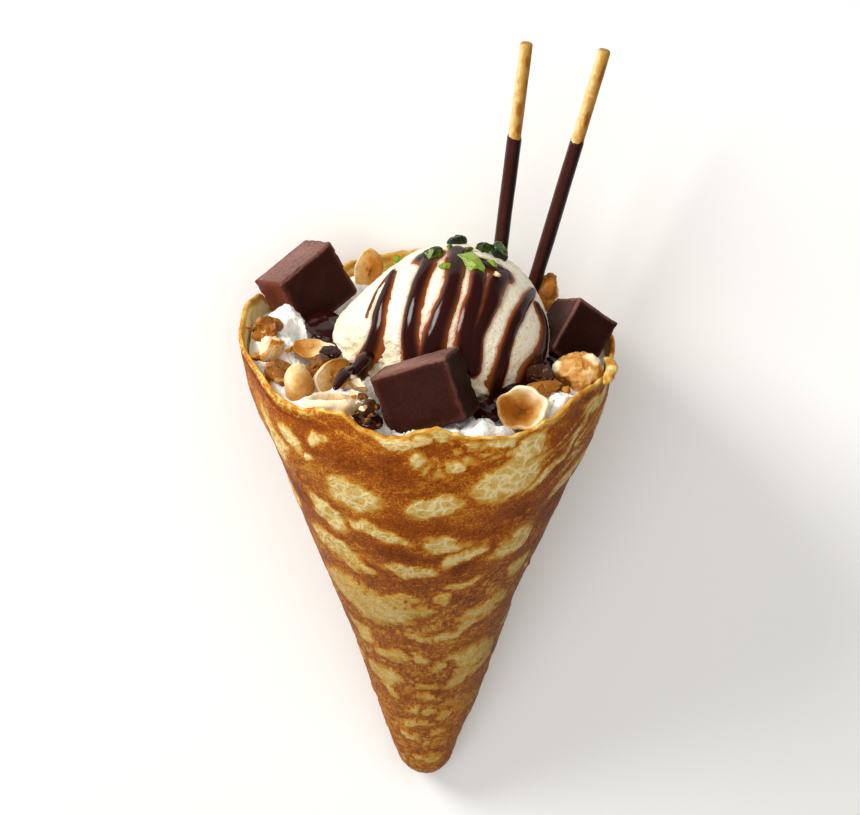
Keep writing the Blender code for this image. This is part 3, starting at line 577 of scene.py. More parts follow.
def make_piece(name, points, quads, fans, material, slot, replaces=(), flat_over=None, **values):
    """Put upright points and faces into a mesh, with values for each point, and ride it on the body."""
    mesh = bpy.data.meshes.new(name)
    corners = np.concatenate([quads.ravel(), fans.ravel()])
    starts = np.concatenate([np.arange(len(quads)) * 4, 4 * len(quads) + np.arange(len(fans)) * 3])
    mesh.vertices.add(len(points))
    mesh.vertices.foreach_set("co", laid_down(points).ravel())
    mesh.loops.add(len(corners))
    mesh.loops.foreach_set("vertex_index", corners)
    mesh.polygons.add(len(starts))
    mesh.polygons.foreach_set("loop_start", starts)
    mesh.update(calc_edges=True)
    for key, array in values.items():
        mesh.attributes.new(key, "FLOAT", "POINT").data.foreach_set("value", np.ravel(array))
    mesh.shade_smooth()
    if flat_over is not None:
        mesh.set_sharp_from_angle(angle=math.radians(flat_over))
    mesh.materials.append(material)
    piece = put_in_scene(name, mesh)
    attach(piece, "root")
    if replaces:
        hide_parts(*replaces)
    return piece


# ---------------------------------------------------------------- shader groups


def add_node(tree, kind, inputs=None, **settings):
    """A shader node; a value in inputs is linked if it is a socket and set if it isn't."""
    node = tree.nodes.new(kind)
    for key, value in settings.items():
        setattr(node, key, value)
    for key, value in (inputs or {}).items():
        if isinstance(value, bpy.types.NodeSocket):
            tree.links.new(value, node.inputs[key])
        else:
            node.inputs[key].default_value = value
    return node


def calculate(tree, operation, a, b=0.0, clamp=False):
    """Output of a Math node."""
    return add_node(tree, "ShaderNodeMath", {0: a, 1: b}, operation=operation, use_clamp=clamp).outputs[0]


def plus(tree, *values):
    """The sum of the values."""
    total = values[-1]
    for value in values[-2::-1]:
        total = calculate(tree, "ADD", value, total)
    return total


def times(tree, a, b):
    """a times b."""
    return calculate(tree, "MULTIPLY", a, b)


def opposite(tree, value):
    """One minus the value."""
    return calculate(tree, "SUBTRACT", 1.0, value)


def swing(tree, value, width):
    """A value from 0 to 1 made to swing about 0 with this width."""
    return times(tree, calculate(tree, "SUBTRACT", value, 0.5), width)


def change_vector(tree, operation, a, b):
    """Output of a Vector Math node; to SCALE, b is a number."""
    second = "Scale" if operation == "SCALE" else 1
    return add_node(tree, "ShaderNodeVectorMath", {0: a, second: b}, operation=operation).outputs[0]


def mix(tree, part, a, b, kind="MIX"):
    """Colour a where part is 0 and b, or with kind MULTIPLY a times b, where it is 1."""
    a, b = (tone if isinstance(tone, bpy.types.NodeSocket) else (*tone, 1.0) for tone in (a, b))
    factor, first, second, result = 0, 6, 7, 2        # the places of the node's colour sockets
    return add_node(tree, "ShaderNodeMix", {factor: part, first: a, second: b}, data_type="RGBA",
                    blend_type=kind).outputs[result]


def step_between(tree, value, start, end):
    """Output of a Map Range node: 0 at start, 1 at end and an S-curve between."""
    inputs = {"Value": value, "From Min": start, "From Max": end}
    return add_node(tree, "ShaderNodeMapRange", inputs, interpolation_type="SMOOTHSTEP").outputs[0]


def stretched_place(tree, inputs):
    """A group's Vector with its height times Stretch, and the scale that gives its Size in mm."""
    parts = add_node(tree, "ShaderNodeSeparateXYZ", {0: inputs["Vector"]}).outputs
    high = times(tree, parts[2], inputs["Stretch"])
    vector = add_node(tree, "ShaderNodeCombineXYZ", {0: parts[0], 1: parts[1], 2: high}).outputs[0]
    return vector, calculate(tree, "DIVIDE", 1.0 / MM, inputs["Size"])


def fill_mottle(tree, inputs, outputs):
    """Cloudy variation from 0 to 1 about one half.  Size is the width of its clouds in mm."""
    vector, scale = stretched_place(tree, inputs)
    noise = add_node(tree, "ShaderNodeTexNoise", {"Vector": vector, "Scale": scale, "Detail": 4.0,
                                                  "Roughness": 0.6})
    strong = swing(tree, noise.outputs[0], inputs["Contrast"])
    tree.links.new(calculate(tree, "ADD", strong, 0.5, clamp=True), outputs["Value"])


def fill_grain(tree, inputs, outputs):
    """Fine bumps and pits.  Size is their width and Depth their height, both in mm."""
    scale = calculate(tree, "DIVIDE", 1.0 / MM, inputs["Size"])
    noise = add_node(tree, "ShaderNodeTexNoise", {"Vector": inputs["Vector"], "Scale": scale,
                                                  "Detail": 3.0, "Roughness": 0.55})
    cells = add_node(tree, "ShaderNodeTexVoronoi", {"Vector": inputs["Vector"], "Scale": scale})
    pit = opposite(tree, step_between(tree, cells.outputs["Distance"], 0.08, 0.34))
    soft, deep = times(tree, noise.outputs[0], inputs["Depth"]), times(tree, pit, inputs["Pits"])
    tree.links.new(calculate(tree, "SUBTRACT", soft, deep), outputs["Height"])
    tree.links.new(pit, outputs["Pit mask"])


def fill_veins(tree, inputs, outputs):
    """Thin wandering lines, 1 on a line.  Size is their spacing in mm and Width a share of it."""
    vector, scale = stretched_place(tree, inputs)
    noise = add_node(tree, "ShaderNodeTexNoise", {"Vector": vector, "Scale": scale, "Detail": 2.0})
    centred = change_vector(tree, "SUBTRACT", noise.outputs["Color"], (0.5, 0.5, 0.5))
    pull = change_vector(tree, "SCALE", centred, times(tree, inputs["Size"], 1.3 * MM))
    warped = change_vector(tree, "ADD", vector, pull)
    edge = add_node(tree, "ShaderNodeTexVoronoi", {"Vector": warped, "Scale": scale},
                    feature="DISTANCE_TO_EDGE").outputs["Distance"]
    tree.links.new(opposite(tree, step_between(tree, edge, 0.0, inputs["Width"])), outputs["Mask"])


# Node groups: what fills each, its inputs after Vector with their defaults, and its outputs
EFFECTS = {
    "Mottle": (fill_mottle, {"Size": 2.0, "Stretch": 1.0, "Contrast": 1.0}, ("Value",)),
    "Grain": (fill_grain, {"Size": 0.5, "Depth": 0.05, "Pits": 0.0}, ("Height", "Pit mask")),
    "Veins": (fill_veins, {"Size": 3.0, "Width": 0.1, "Stretch": 1.0}, ("Mask",)),
}


def effect_group(name):
    """The node group of this name, built the first time it is asked for."""
    if name in bpy.data.node_groups:
        return bpy.data.node_groups[name]
    fill, inputs, outputs = EFFECTS[name]
    group = bpy.data.node_groups.new(name, "ShaderNodeTree")
    group.interface.new_socket(name="Vector", in_out="INPUT", socket_type="NodeSocketVector")
    for title, default in inputs.items():
        socket = group.interface.new_socket(name=title, in_out="INPUT", socket_type="NodeSocketFloat")
        socket.default_value = default
    for title in outputs:
        group.interface.new_socket(name=title, in_out="OUTPUT", socket_type="NodeSocketFloat")
    fill(group, group.nodes.new("NodeGroupInput").outputs, group.nodes.new("NodeGroupOutput").inputs)
    return group


def effect(tree, name, place, **values):
    """Outputs of a node group placed in a material with its own values."""
    inputs = {"Vector": place, **values}
    return add_node(tree, "ShaderNodeGroup", inputs, node_tree=effect_group(name)).outputs


def mottle(tree, place, size, contrast, stretch=1.0):
    """Cloudy variation from 0 to 1, with clouds of this size in mm."""
    return effect(tree, "Mottle", place, Size=size, Stretch=stretch, Contrast=contrast)["Value"]


def crossed_veins(tree, place, wide, thin, share):
    """The greater of wide veins and share times thin ones, each given by size, width and stretch."""
    wide, thin = (effect(tree, "Veins", place, Size=size, Width=width, Stretch=stretch)["Mask"]
                  for size, width, stretch in (wide, thin))
    return calculate(tree, "MAXIMUM", wide, times(tree, thin, share))


def new_material(name, **sockets):
    """A material with its Principled shader set, its node tree, the shader and upright coordinates."""
    material = bpy.data.materials.new(name)
    material.use_nodes = True
    tree = material.node_tree
    shader = tree.nodes["Principled BSDF"]
    for key, value in sockets.items():
        shader.inputs[key.replace("_", " ")].default_value = value
    place = tree.nodes.new("ShaderNodeTexCoord").outputs["Object"]
    upright = {"Vector": place, "Rotation": (math.pi / 2.0 - HALF_ANGLE, 0.0, 0.0)}
    return material, tree, shader, add_node(tree, "ShaderNodeMapping", upright).outputs[0]


def attribute(tree, name):
    """The value of a mesh attribute."""
    return add_node(tree, "ShaderNodeAttribute", attribute_name=name).outputs["Fac"]


def coat(tree, shader, tone, height=None, rough=None):
    """Feed a colour, and where given a height in mm and a roughness, to the shader."""
    tree.links.new(tone, shader.inputs["Base Color"])
    if rough is not None:
        tree.links.new(rough, shader.inputs["Roughness"])
    if height is not None:
        bump = add_node(tree, "ShaderNodeBump", {"Height": height, "Distance": MM, "Strength": 1.0})
        tree.links.new(bump.outputs[0], shader.inputs["Normal"])


def ramp(tree, value, stops):
    """Output of a colour ramp through (place, linear colour) stops."""
    node = add_node(tree, "ShaderNodeValToRGB", {"Fac": value})
    elements = node.color_ramp.elements
    while len(elements) < len(stops):
        elements.new(0.5)
    for element, (place, tone) in zip(elements, stops):
        element.position = place
        element.color = (*tone, 1.0)
    return node.outputs["Color"]


def shade(tone, factor):
    """A colour made lighter or darker."""
    return tuple(min(1.0, part * factor) for part in tone)


def between(a, b, part):
    """The colour that lies this part of the way from a to b."""
    return tuple(blend(np.array(a), np.array(b), part))


# ---------------------------------------------------------------- materials


def crepe_material(tones):
    """Baked crepe: pale ribs round yellow hollows, golden edges and brown speckled with darker spots, with
    painted shade down the cone, at the right and in the lip's crease.
    """
    material, tree, shader, place = new_material("baked_crepe", Roughness=0.55, Specular_IOR_Level=0.05)
    coarse = mottle(tree, place, 2.4, 1.5, 1.6)
    fine = mottle(tree, place, 0.62, 2.6, 1.1)
    bake, veined = attribute(tree, "bake"), attribute(tree, "veined")
    browned = step_between(tree, bake, 0.34, 0.58)
    speckle = plus(tree, 0.1, times(tree, browned, attribute(tree, "speckle")))
    rib = crossed_veins(tree, place, (3.6, 0.25, 1.0), (1.7, 0.3, 1.0), 0.4)
    bubble = times(tree, opposite(tree, rib), attribute(tree, "patch"))
    level = plus(tree, bake, swing(tree, coarse, 0.16), swing(tree, fine, speckle))
    level = plus(tree, level, times(tree, bubble, 0.26))
    vein = times(tree, crossed_veins(tree, place, (3.6, 0.11, 1.7), (1.9, 0.16, 1.5), 0.6), veined)
    level = plus(tree, level, times(tree, vein, 0.22))
    tone = ramp(tree, level, (
        (0.0, tones.pale), (0.16, between(tones.pale, tones.olive, 0.5)), (0.31, tones.olive),
        (0.45, tones.golden), (0.60, shade(tones.brown, 1.4)), (0.76, tones.brown), (1.0, tones.dark),
    ))
    # Painted shade in the crease under the lip's roll.
    tone = mix(tree, times(tree, attribute(tree, "crease"), 0.75), tone, tones.dark)
    # Painted shade: darker down the cone and at the right.
    tone = mix(tree, attribute(tree, "dim"), tone, CREPE_DIM, "MULTIPLY")
    tone = mix(tree, times(tree, veined, 0.07), tone, tint_of("floury"))
    grain = effect(tree, "Grain", place, Size=0.9, Depth=0.14, Pits=0.04)["Height"]
    height = plus(tree, grain, times(tree, fine, 0.1))
    height = calculate(tree, "SUBTRACT", height, times(tree, bubble, 0.22))
    coat(tree, shader, tone, height, plus(tree, 0.42, times(tree, fine, 0.22)))
    return material


def cream_material(tones):
    """Whipped cream: soft, white and a little grainy."""
    material, tree, shader, place = new_material("whipped_cream", Roughness=0.5, Subsurface_Weight=0.3,
                                                 Subsurface_Scale=0.001)
    tone = mix(tree, mottle(tree, place, 4.0, 1.2), shade(tones.cream, 0.93), tones.cream)
    coat(tree, shader, tone, effect(tree, "Grain", place, Size=1.1, Depth=0.4, Pits=0.1)["Height"])
    return material


def vanilla_material(tones):
    """Ice cream: ivory, icy and full of pinholes."""
    material, tree, shader, place = new_material("vanilla_ice_cream", Roughness=0.45,
                                                 Subsurface_Weight=0.3, Subsurface_Scale=0.0014)
    grain = effect(tree, "Grain", place, Size=0.9, Depth=0.44, Pits=0.2)
    tone = mix(tree, mottle(tree, place, 5.0, 1.4), shade(tones.vanilla, 0.9), tones.vanilla)
    for mask, share, name in (
        (grain["Pit mask"], 0.13, "pinhole"),
        (attribute(tree, "hollow"), 0.55, "torn"),
        (attribute(tree, "stain"), 0.7, "soaked"),
    ):
        tone = mix(tree, times(tree, mask, share), tone, tint_of(name))
    coat(tree, shader, tone, grain["Height"])
    return material


def sauce_material(tones):
    """Glossy sauce: nearly black where thick and orange-brown where it thins out."""
    material, tree, shader, place = new_material("chocolate_sauce", Roughness=0.15, Specular_IOR_Level=0.2)
    film = plus(tree, attribute(tree, "film"), swing(tree, mottle(tree, place, 1.6, 1.0), 0.16))
    coat(tree, shader, ramp(tree, film, (
        (0.0, shade(tones.sauce_edge, 2.4)), (0.2, shade(tones.sauce_edge, 1.3)),
        (0.46, between(tones.sauce, tones.sauce_edge, 0.5)), (0.9, tones.sauce),
    )))
    return material


def chocolate_material(tones):
    """Cut chocolate: satin and cloudy; bloom and painted light on its upper faces, paler and redder along
    its broken edges from wear and painted edge highlight, redder with painted light on the side turned to
    the light, and painted shade on its unlit faces.
    """
    material, tree, shader, place = new_material("block_chocolate", Roughness=0.5, Specular_IOR_Level=0.03)
    cloud, fine = mottle(tree, place, 6.0, 1.6), mottle(tree, place, 0.9, 2.2)
    tone = mix(tree, cloud, shade(tones.chocolate, 0.75), shade(tones.chocolate, 1.3))
    streaks = plus(tree, 0.35, times(tree, fine, 0.9))
    # Bloom on the upper faces, which also stands for painted light on them.
    tone = mix(tree, times(tree, attribute(tree, "dust"), streaks), tone, tint_of("bloom"))
    # Paler worn edges, partly wear and partly painted edge highlight.
    worn = times(tree, attribute(tree, "edge"), times(tree, fine, 0.8))
    tone = mix(tree, worn, tone, tint_of("worn"))
    # Painted light: redder on the side face turned to the light.
    tone = mix(tree, attribute(tree, "glow"), tone, tint_of("lit"))
    # Painted shade on the unlit faces.
    tone = mix(tree, attribute(tree, "dim"), tone, BLOCK_DIM, "MULTIPLY")
    grain = effect(tree, "Grain", place, Size=0.9, Depth=0.2, Pits=0.05)["Height"]
    coat(tree, shader, tone, grain, plus(tree, 0.36, times(tree, fine, 0.24)))
    return material


def coat_material(tones):
    """Thin chocolate coat of the sticks: satin with slow ripples, and painted shade on the side turned away
    from the light.
    """
    material, tree, shader, place = new_material("stick_coat", Roughness=0.3, Specular_IOR_Level=0.22)
    tone = mix(tree, mottle(tree, place, 3.0, 1.4), shade(tones.coat, 0.9), shade(tones.coat, 2.1))
    tone = mix(tree, attribute(tree, "dim"), tone, COAT_DIM, "MULTIPLY")
    coat(tree, shader, tone, effect(tree, "Grain", place, Size=1.1, Depth=0.2, Pits=0.0)["Height"])
    return material


def biscuit_material(tones):
    """Baked biscuit: pale yellow with brown scorched streaks, and painted shade on its right side."""
    material, tree, shader, place = new_material("baked_biscuit", Roughness=0.6, Specular_IOR_Level=0.25)
    level = plus(tree, attribute(tree, "toast"), swing(tree, mottle(tree, place, 1.2, 2.0, 0.5), 0.3))
    tone = ramp(tree, level, ((0.0, tint_of("unbaked")), (0.25, tones.biscuit),
                              (0.6, shade(tones.biscuit, 0.62)), (0.8, tones.scorch),
                              (1.0, shade(tones.scorch, 0.6))))
    coat(tree, shader, tone, effect(tree, "Grain", place, Size=0.6, Depth=0.12, Pits=0.06)["Height"])
    return material


def nut_material(tones):
    """Roasted hazelnut, from pale broken flesh through caramel to dark skin, by the tone attribute, which
    also carries painted shade in the hollows and across some halves.
    """
    material, tree, shader, place = new_material("roasted_nut", Roughness=0.36, Specular_IOR_Level=0.2)
    level = plus(tree, attribute(tree, "tone"), swing(tree, mottle(tree, place, 3.2, 1.6), 0.22),
                 swing(tree, mottle(tree, place, 0.7, 1.6), 0.16))
    tone = ramp(tree, level, ((0.0, tones.nut_pale), (0.28, tones.nut_tan), (0.5, tones.nut),
                              (0.74, shade(tones.nut, 0.55)), (1.0, tones.nut_dark)))
    coat(tree, shader, tone, effect(tree, "Grain", place, Size=0.8, Depth=0.14, Pits=0.03)["Height"])
    return material


def pistachio_material(tones):
    """Chopped pistachio: bright green cut faces and a dark green of painted shade, by the tone attribute."""
    material, tree, shader, place = new_material("chopped_pistachio", Roughness=0.24, Specular_IOR_Level=0.3)
    level = plus(tree, attribute(tree, "tone"), swing(tree, mottle(tree, place, 1.0, 1.6), 0.8))
    tone = ramp(tree, level, ((0.0, shade(tones.pistachio, 1.25)), (0.3, tones.pistachio),
                              (0.6, between(tones.pistachio, tones.pistachio_dark, 0.6)),
                              (1.0, tones.pistachio_dark)))
    coat(tree, shader, tone, effect(tree, "Grain", place, Size=0.9, Depth=0.2, Pits=0.0)["Height"])
    return material


def floor_material(tones):
    """Plain pale floor with the faintest unevenness."""
    material, tree, shader, place = new_material("pale_floor", Roughness=0.85)
    coat(tree, shader, mix(tree, mottle(tree, place, 60.0, 0.6), shade(tones.floor, 0.98), tones.floor))
    return material


# ---------------------------------------------------------------- crepe and cream


def rim_height(theta):
    """Height of the rim at an angle, an even curve through RIM_HEIGHTS."""
    stops = np.radians([stop for stop, _ in RIM_HEIGHTS] + [360.0])
    heights = [height for _, height in RIM_HEIGHTS] + [RIM_HEIGHTS[0][1]]
    ragged = RIM_RAGGED * value_noise(direction(theta, 0.0 * theta) * 26.0)
    return through(stops, heights, np.mod(theta, 2.0 * math.pi)) + ragged


def wall_radius(theta, z, mouth):
    """Outer radius of the crepe: that of the mouth, less the slope times the depth below it.

    Near the rim it curls in with the square of the height, each swell adds a bell curve, and three
    sines round the cone ruffle it.
    """
    radius = mouth + SLOPE * np.minimum(z, 0.0)
    radius = radius - CURL_IN * np.clip((z - CURL_START) / -CURL_START, 0.0, 1.0) ** 2
    for turn, height, spread, rise in WALL_SWELLS:
        side = np.clip(np.cos(theta - math.radians(turn)), 0.0, 1.0) ** 2
        radius = radius + rise * side * np.exp(-(((z - height) / spread) ** 2))
    ruffle = np.sin(5.0 * theta + 0.6) + 0.7 * np.sin(9.0 * theta - 1.3) + 0.4 * np.sin(14.0 * theta)
    return radius + RUFFLE * smooth_step(z, -70.0, 0.0) * ruffle


def wall_thickness(z, sizes):
    """Thickness of the crepe, measured level: an S-curve from the rim's down to the wrapped wall's."""
    rim, wall = sizes.rim_thick / MM, sizes.wall_thick / MM
    return rim + (wall - rim) * (1.0 - smooth_step(z, -THIN_OVER, 0.0))


def ring(theta, radius, z):
    """One ring: radius times (cosine, sine) of theta at height z, shifted sideways near the twisted tip."""
    lean = TIP_LEAN * smooth_step(-z, 90.0, -TIP_CAP)
    lean = lean + TIP_SKEW * np.clip((TIP_CAP - z) / TIP_LENGTH, 0.0, 1.0)
    return np.stack([radius * np.cos(theta) + lean, radius * np.sin(theta), z + 0.0 * theta], axis=-1)


def lip_cover(theta):
    """1 where the doubled lip of the rim runs and 0 elsewhere, with an S-curve at each end."""
    return smooth_step(theta, LIP_FROM, LIP_FROM + 0.15) * (1.0 - smooth_step(theta, LIP_TO - 0.12, LIP_TO))


def press_back(points, mouth):
    """Lift each point that would lie lower than FLAT_DEPTH, once laid down, up to that one flat."""
    height = (mouth - points[..., 1]) * math.cos(HALF_ANGLE) + points[..., 2] * math.sin(HALF_ANGLE)
    lift = np.maximum(FLAT_DEPTH - height, 0.0)[..., None]
    return points + lift * np.array((0.0, -math.cos(HALF_ANGLE), math.sin(HALF_ANGLE)))


def inside_ring(theta, level, sizes, inset=0.0):
    """One ring on the inside of the wall, or inset from it: the wall's radius less its thickness."""
    z = level + rim_height(theta) * smooth_step(level, RIM_FOLLOWED, 0.0)
    radius = wall_radius(theta, z, sizes.mouth_radius / MM) - wall_thickness(z, sizes) - inset
    return ring(theta, radius, z)


def patch_reach(theta, z, points, patches):
    """Least over the patches of sqrt((along / half width)^2 + (aside / half height)^2).

    Along and aside are measured on the wall from the patch's middle, turned by its rise, and rough
    noise pulls them about.
    """
    warp_across = 2.8 * rough_noise(points / 7.0 + 3.1, 4)
    warp_up = 1.7 * rough_noise(points / 5.0 + 17.3, 4)
    nearest = np.full(z.shape, 9.0)
    for turn, height, half_width, half_height, rise in patches:
        radius = max(MOUTH_RADIUS + SLOPE * height, 9.0)
        across = radius * angle_between(theta, math.radians(turn)) + warp_across
        up = (z - height) / math.cos(HALF_ANGLE) + warp_up
        tilt = math.radians(rise)
        along = across * math.cos(tilt) + up * math.sin(tilt)
        aside = up * math.cos(tilt) - across * math.sin(tilt)
        nearest = np.minimum(nearest, np.sqrt((along / half_width) ** 2 + (aside / half_height) ** 2))
    return nearest


def strewn_patches():
    """Pale patches for the sides and the back: turns in golden-section steps, heights in even ones."""
    rng = np.random.default_rng(21)
    patches = []
    for index in range(BACK_PATCHES):
        turn = -28.0 + 226.0 * ((index * 0.618034) % 1.0)
        height = -6.0 - 122.0 * (index + rng.uniform(0.0, 0.9)) / BACK_PATCHES
        half_width = rng.uniform(3.5, 10.0) * (1.0 + height / 260.0)
        lean = 28.0 * math.sin(math.radians(turn * 2.0)) + rng.uniform(-12.0, 12.0)
        patches.append((turn, height, half_width, half_width * rng.uniform(0.3, 0.6), lean))
    return patches


def crepe_bake(theta, z, points):
    """How brown the outside is, how high its blisters stand and how hollow they are, from 0 to 1.

    Brown ground with darker bands and golden stretches; over it a net of brown lines between golden
    cells, thick above and thin below; over that the pale patches, each inside a golden halo, with
    pale ribs between their hollows.
    """
    warped = points + 1.5 * noise_vectors(points / 6.0, (0.0, 13.0, 29.0), 3)
    stretched = warped * np.array((1.0, 1.0, 2.0))
    cloud = rough_noise(stretched / 10.0, 4)
    mottle = rough_noise(stretched / 3.2 + 21.0, 3)
    low = smooth_step(-z, 48.0, 64.0)
    tip = smooth_step(-z, 98.0, 112.0)
    ground = blend(0.66, 0.58, low) - 0.05 * tip + 0.13 * cloud + 0.08 * mottle
    for height, half, strength in DARK_BANDS:
        ground = ground + strength * np.exp(-(((z + 3.0 * cloud - height) / half) ** 2))
    for *zone, share in GOLDEN_ZONES:
        light = 1.0 - smooth_step(patch_reach(theta, z, points, (zone,)), 0.3, 1.25)
        ground = blend(ground, 0.46 + 0.1 * cloud + 0.08 * mottle, share * light)
    near, far = cell_distances(stretched / blend(4.4, 3.2, low)[..., None])
    line = 1.0 - smooth_step(far - near, 0.03, blend(0.5, 0.26, low))
    openness = value_noise(stretched / 15.0 + 50.0)
    open_part = smooth_step(openness, blend(0.1, -0.9, low), blend(0.75, -0.2, low))
    cell = blend(blend(0.5, 0.36, low), 0.42, tip) + 0.12 * cloud
    bake = blend(ground, blend(cell, ground, line), open_part)
    fine_near, fine_far = cell_distances(stretched / 2.3 + 7.0)
    fleck = smooth_step(fine_far - fine_near, 0.2, 0.6)
    fleck = fleck * smooth_step(value_noise(stretched / 5.0), -0.2, 0.5)
    bake = bake - 0.22 * fleck * blend(0.35, 1.0, low)
    streak = ridged_noise(np.stack([theta * 9.0 - z / 3.0, z / 9.0 + theta * 2.0, 0.0 * z], axis=-1), 2)
    side = smooth_step(np.cos(theta - math.radians(332.0)), 0.84, 0.97) * smooth_step(z, -34.0, -22.0)
    bake = bake - 0.52 * smooth_step(streak, 0.58, 0.84) * side

    reach = patch_reach(theta, z, points, PALE_PATCHES + tuple(strewn_patches()))
    halo = 1.0 - smooth_step(reach, 0.95, 1.9)
    bake = blend(bake, np.minimum(bake, 0.46 + 0.1 * mottle), 0.85 * halo)
    outline = np.exp(-((reach - 1.3) / 0.14) ** 2) * blend(0.25, 1.0, low)
    bake = bake + 0.16 * outline
    cover = 1.0 - smooth_step(reach, 0.8, 1.16)
    pale = blend(0.05, 0.14, low) + 0.07 * cloud + 0.05 * mottle
    lines = ridged_noise(stretched / 12.0 + 2.0, 3)
    vein = smooth_step(lines, 0.76, 0.93) * smooth_step(-z, 40.0, 62.0)
    bake = blend(bake, pale + 0.36 * vein, cover)

    bake = blend(bake, 0.41, 0.12 * low + 0.16 * tip)
    netted = 1.0 - smooth_step(patch_reach(theta, z, points, (NET_ZONE,)), 0.75, 1.1)
    net_near, net_far = cell_distances(warped * np.array((1.0, 1.0, 1.15)) / 4.6 + 4.0)
    net = 0.28 + 0.4 * (1.0 - smooth_step(net_far - net_near, 0.06, 0.42)) + 0.08 * cloud
    bake = blend(bake, np.minimum(bake, net), netted)
    net_hollow = 0.6 * netted * (1.0 - smooth_step(bake, 0.3, 0.5))
    return np.clip(bake, 0.0, 1.0), cover, np.maximum(cover * blend(1.0, 0.3, low), net_hollow)


def crepe_columns():
    """Angles of the columns round the cone, twice as close together on the shown side."""
    front = np.linspace(math.pi, 2.0 * math.pi, CREPE_COLUMNS[0], endpoint=False)
    back = np.linspace(2.0 * math.pi, 3.0 * math.pi, CREPE_COLUMNS[1], endpoint=False)
    return np.concatenate([front, back])


def crepe_outside(theta, sizes):
    """Rings of the outer wall from the rounded tip up to the rim, and the painted shade along the lip's
    crease.

    The wall winds outwards once round from its seam, and steps in under the doubled lip.
    """
    mouth = sizes.mouth_radius / MM
    rim = rim_height(theta)
    seam = angle_between(theta, SEAM_ANGLE)
    wrap = SEAM_STEP * (np.where(seam > 0.0, seam, seam + 2.0 * math.pi) / (2.0 * math.pi) - 0.5)
    lip = lip_cover(theta)
    cap = np.radians(np.linspace(5.0, 82.0, 9))[:, None]
    cap_radius = wall_radius(theta, TIP_CAP, mouth) * np.sin(cap)
    cap_radius = cap_radius * blend(TIP_TAPER, 1.0, cap / (math.pi / 2.0))
    rings = [ring(theta[None], cap_radius, TIP_CAP - TIP_LENGTH * np.cos(cap) + 0.0 * theta)]
    half_rim = 0.5 * sizes.rim_thick / MM
    level = np.concatenate([np.linspace(TIP_CAP, -62.0, 66, endpoint=False),
                            np.linspace(-62.0, -6.0, 84, endpoint=False),
                            np.linspace(-6.0, -half_rim, 12)])[:, None]
    z = level + rim * smooth_step(level, RIM_FOLLOWED, 0.0)
    step = smooth_step(z - rim, -LIP_DROP - 0.35, -LIP_DROP + 0.35) * lip
    taper = smooth_step(level, TIP_CAP, -90.0) * (1.0 - smooth_step(level, -4.0, -1.0))
    roll = np.exp(-(((z - rim + 0.45 * LIP_DROP) / (0.36 * LIP_DROP)) ** 2)) * lip
    radius = wall_radius(theta, z, mouth) + wrap * taper - LIP_STEP * step + 0.7 * roll
    rings.append(ring(theta + 0.0 * z, radius, z))
    rings = np.concatenate(rings)
    crease = np.exp(-(((z - rim + LIP_DROP) / 0.5) ** 2)) * lip
    crease = np.concatenate([np.zeros((len(cap), len(theta))), crease])
    return rings, crease


def crepe_rim(theta, sizes):
    """Rings over the rim, on a half circle as wide as it is thick, and down the inside of the wall."""
    mouth, half = sizes.mouth_radius / MM, 0.5 * sizes.rim_thick / MM
    lip = lip_cover(theta)
    rim = rim_height(theta)
    turn = np.radians(np.linspace(20.0, 160.0, 7))[:, None]
    out = np.where(np.cos(turn) > 0.0, half - 0.5 * LIP_STEP * lip, half)
    middle = wall_radius(theta, rim, mouth) - half - 0.5 * LIP_STEP * lip * (np.cos(turn) > 0.0)
    over = ring(theta + 0.0 * turn, middle + out * np.cos(turn), rim - half + half * np.sin(turn))
    levels = np.concatenate([np.linspace(-1.4, -26.0, 22), INSIDE_LEVELS])
    inside = np.array([inside_ring(theta, level, sizes) for level in levels])
    return over, inside


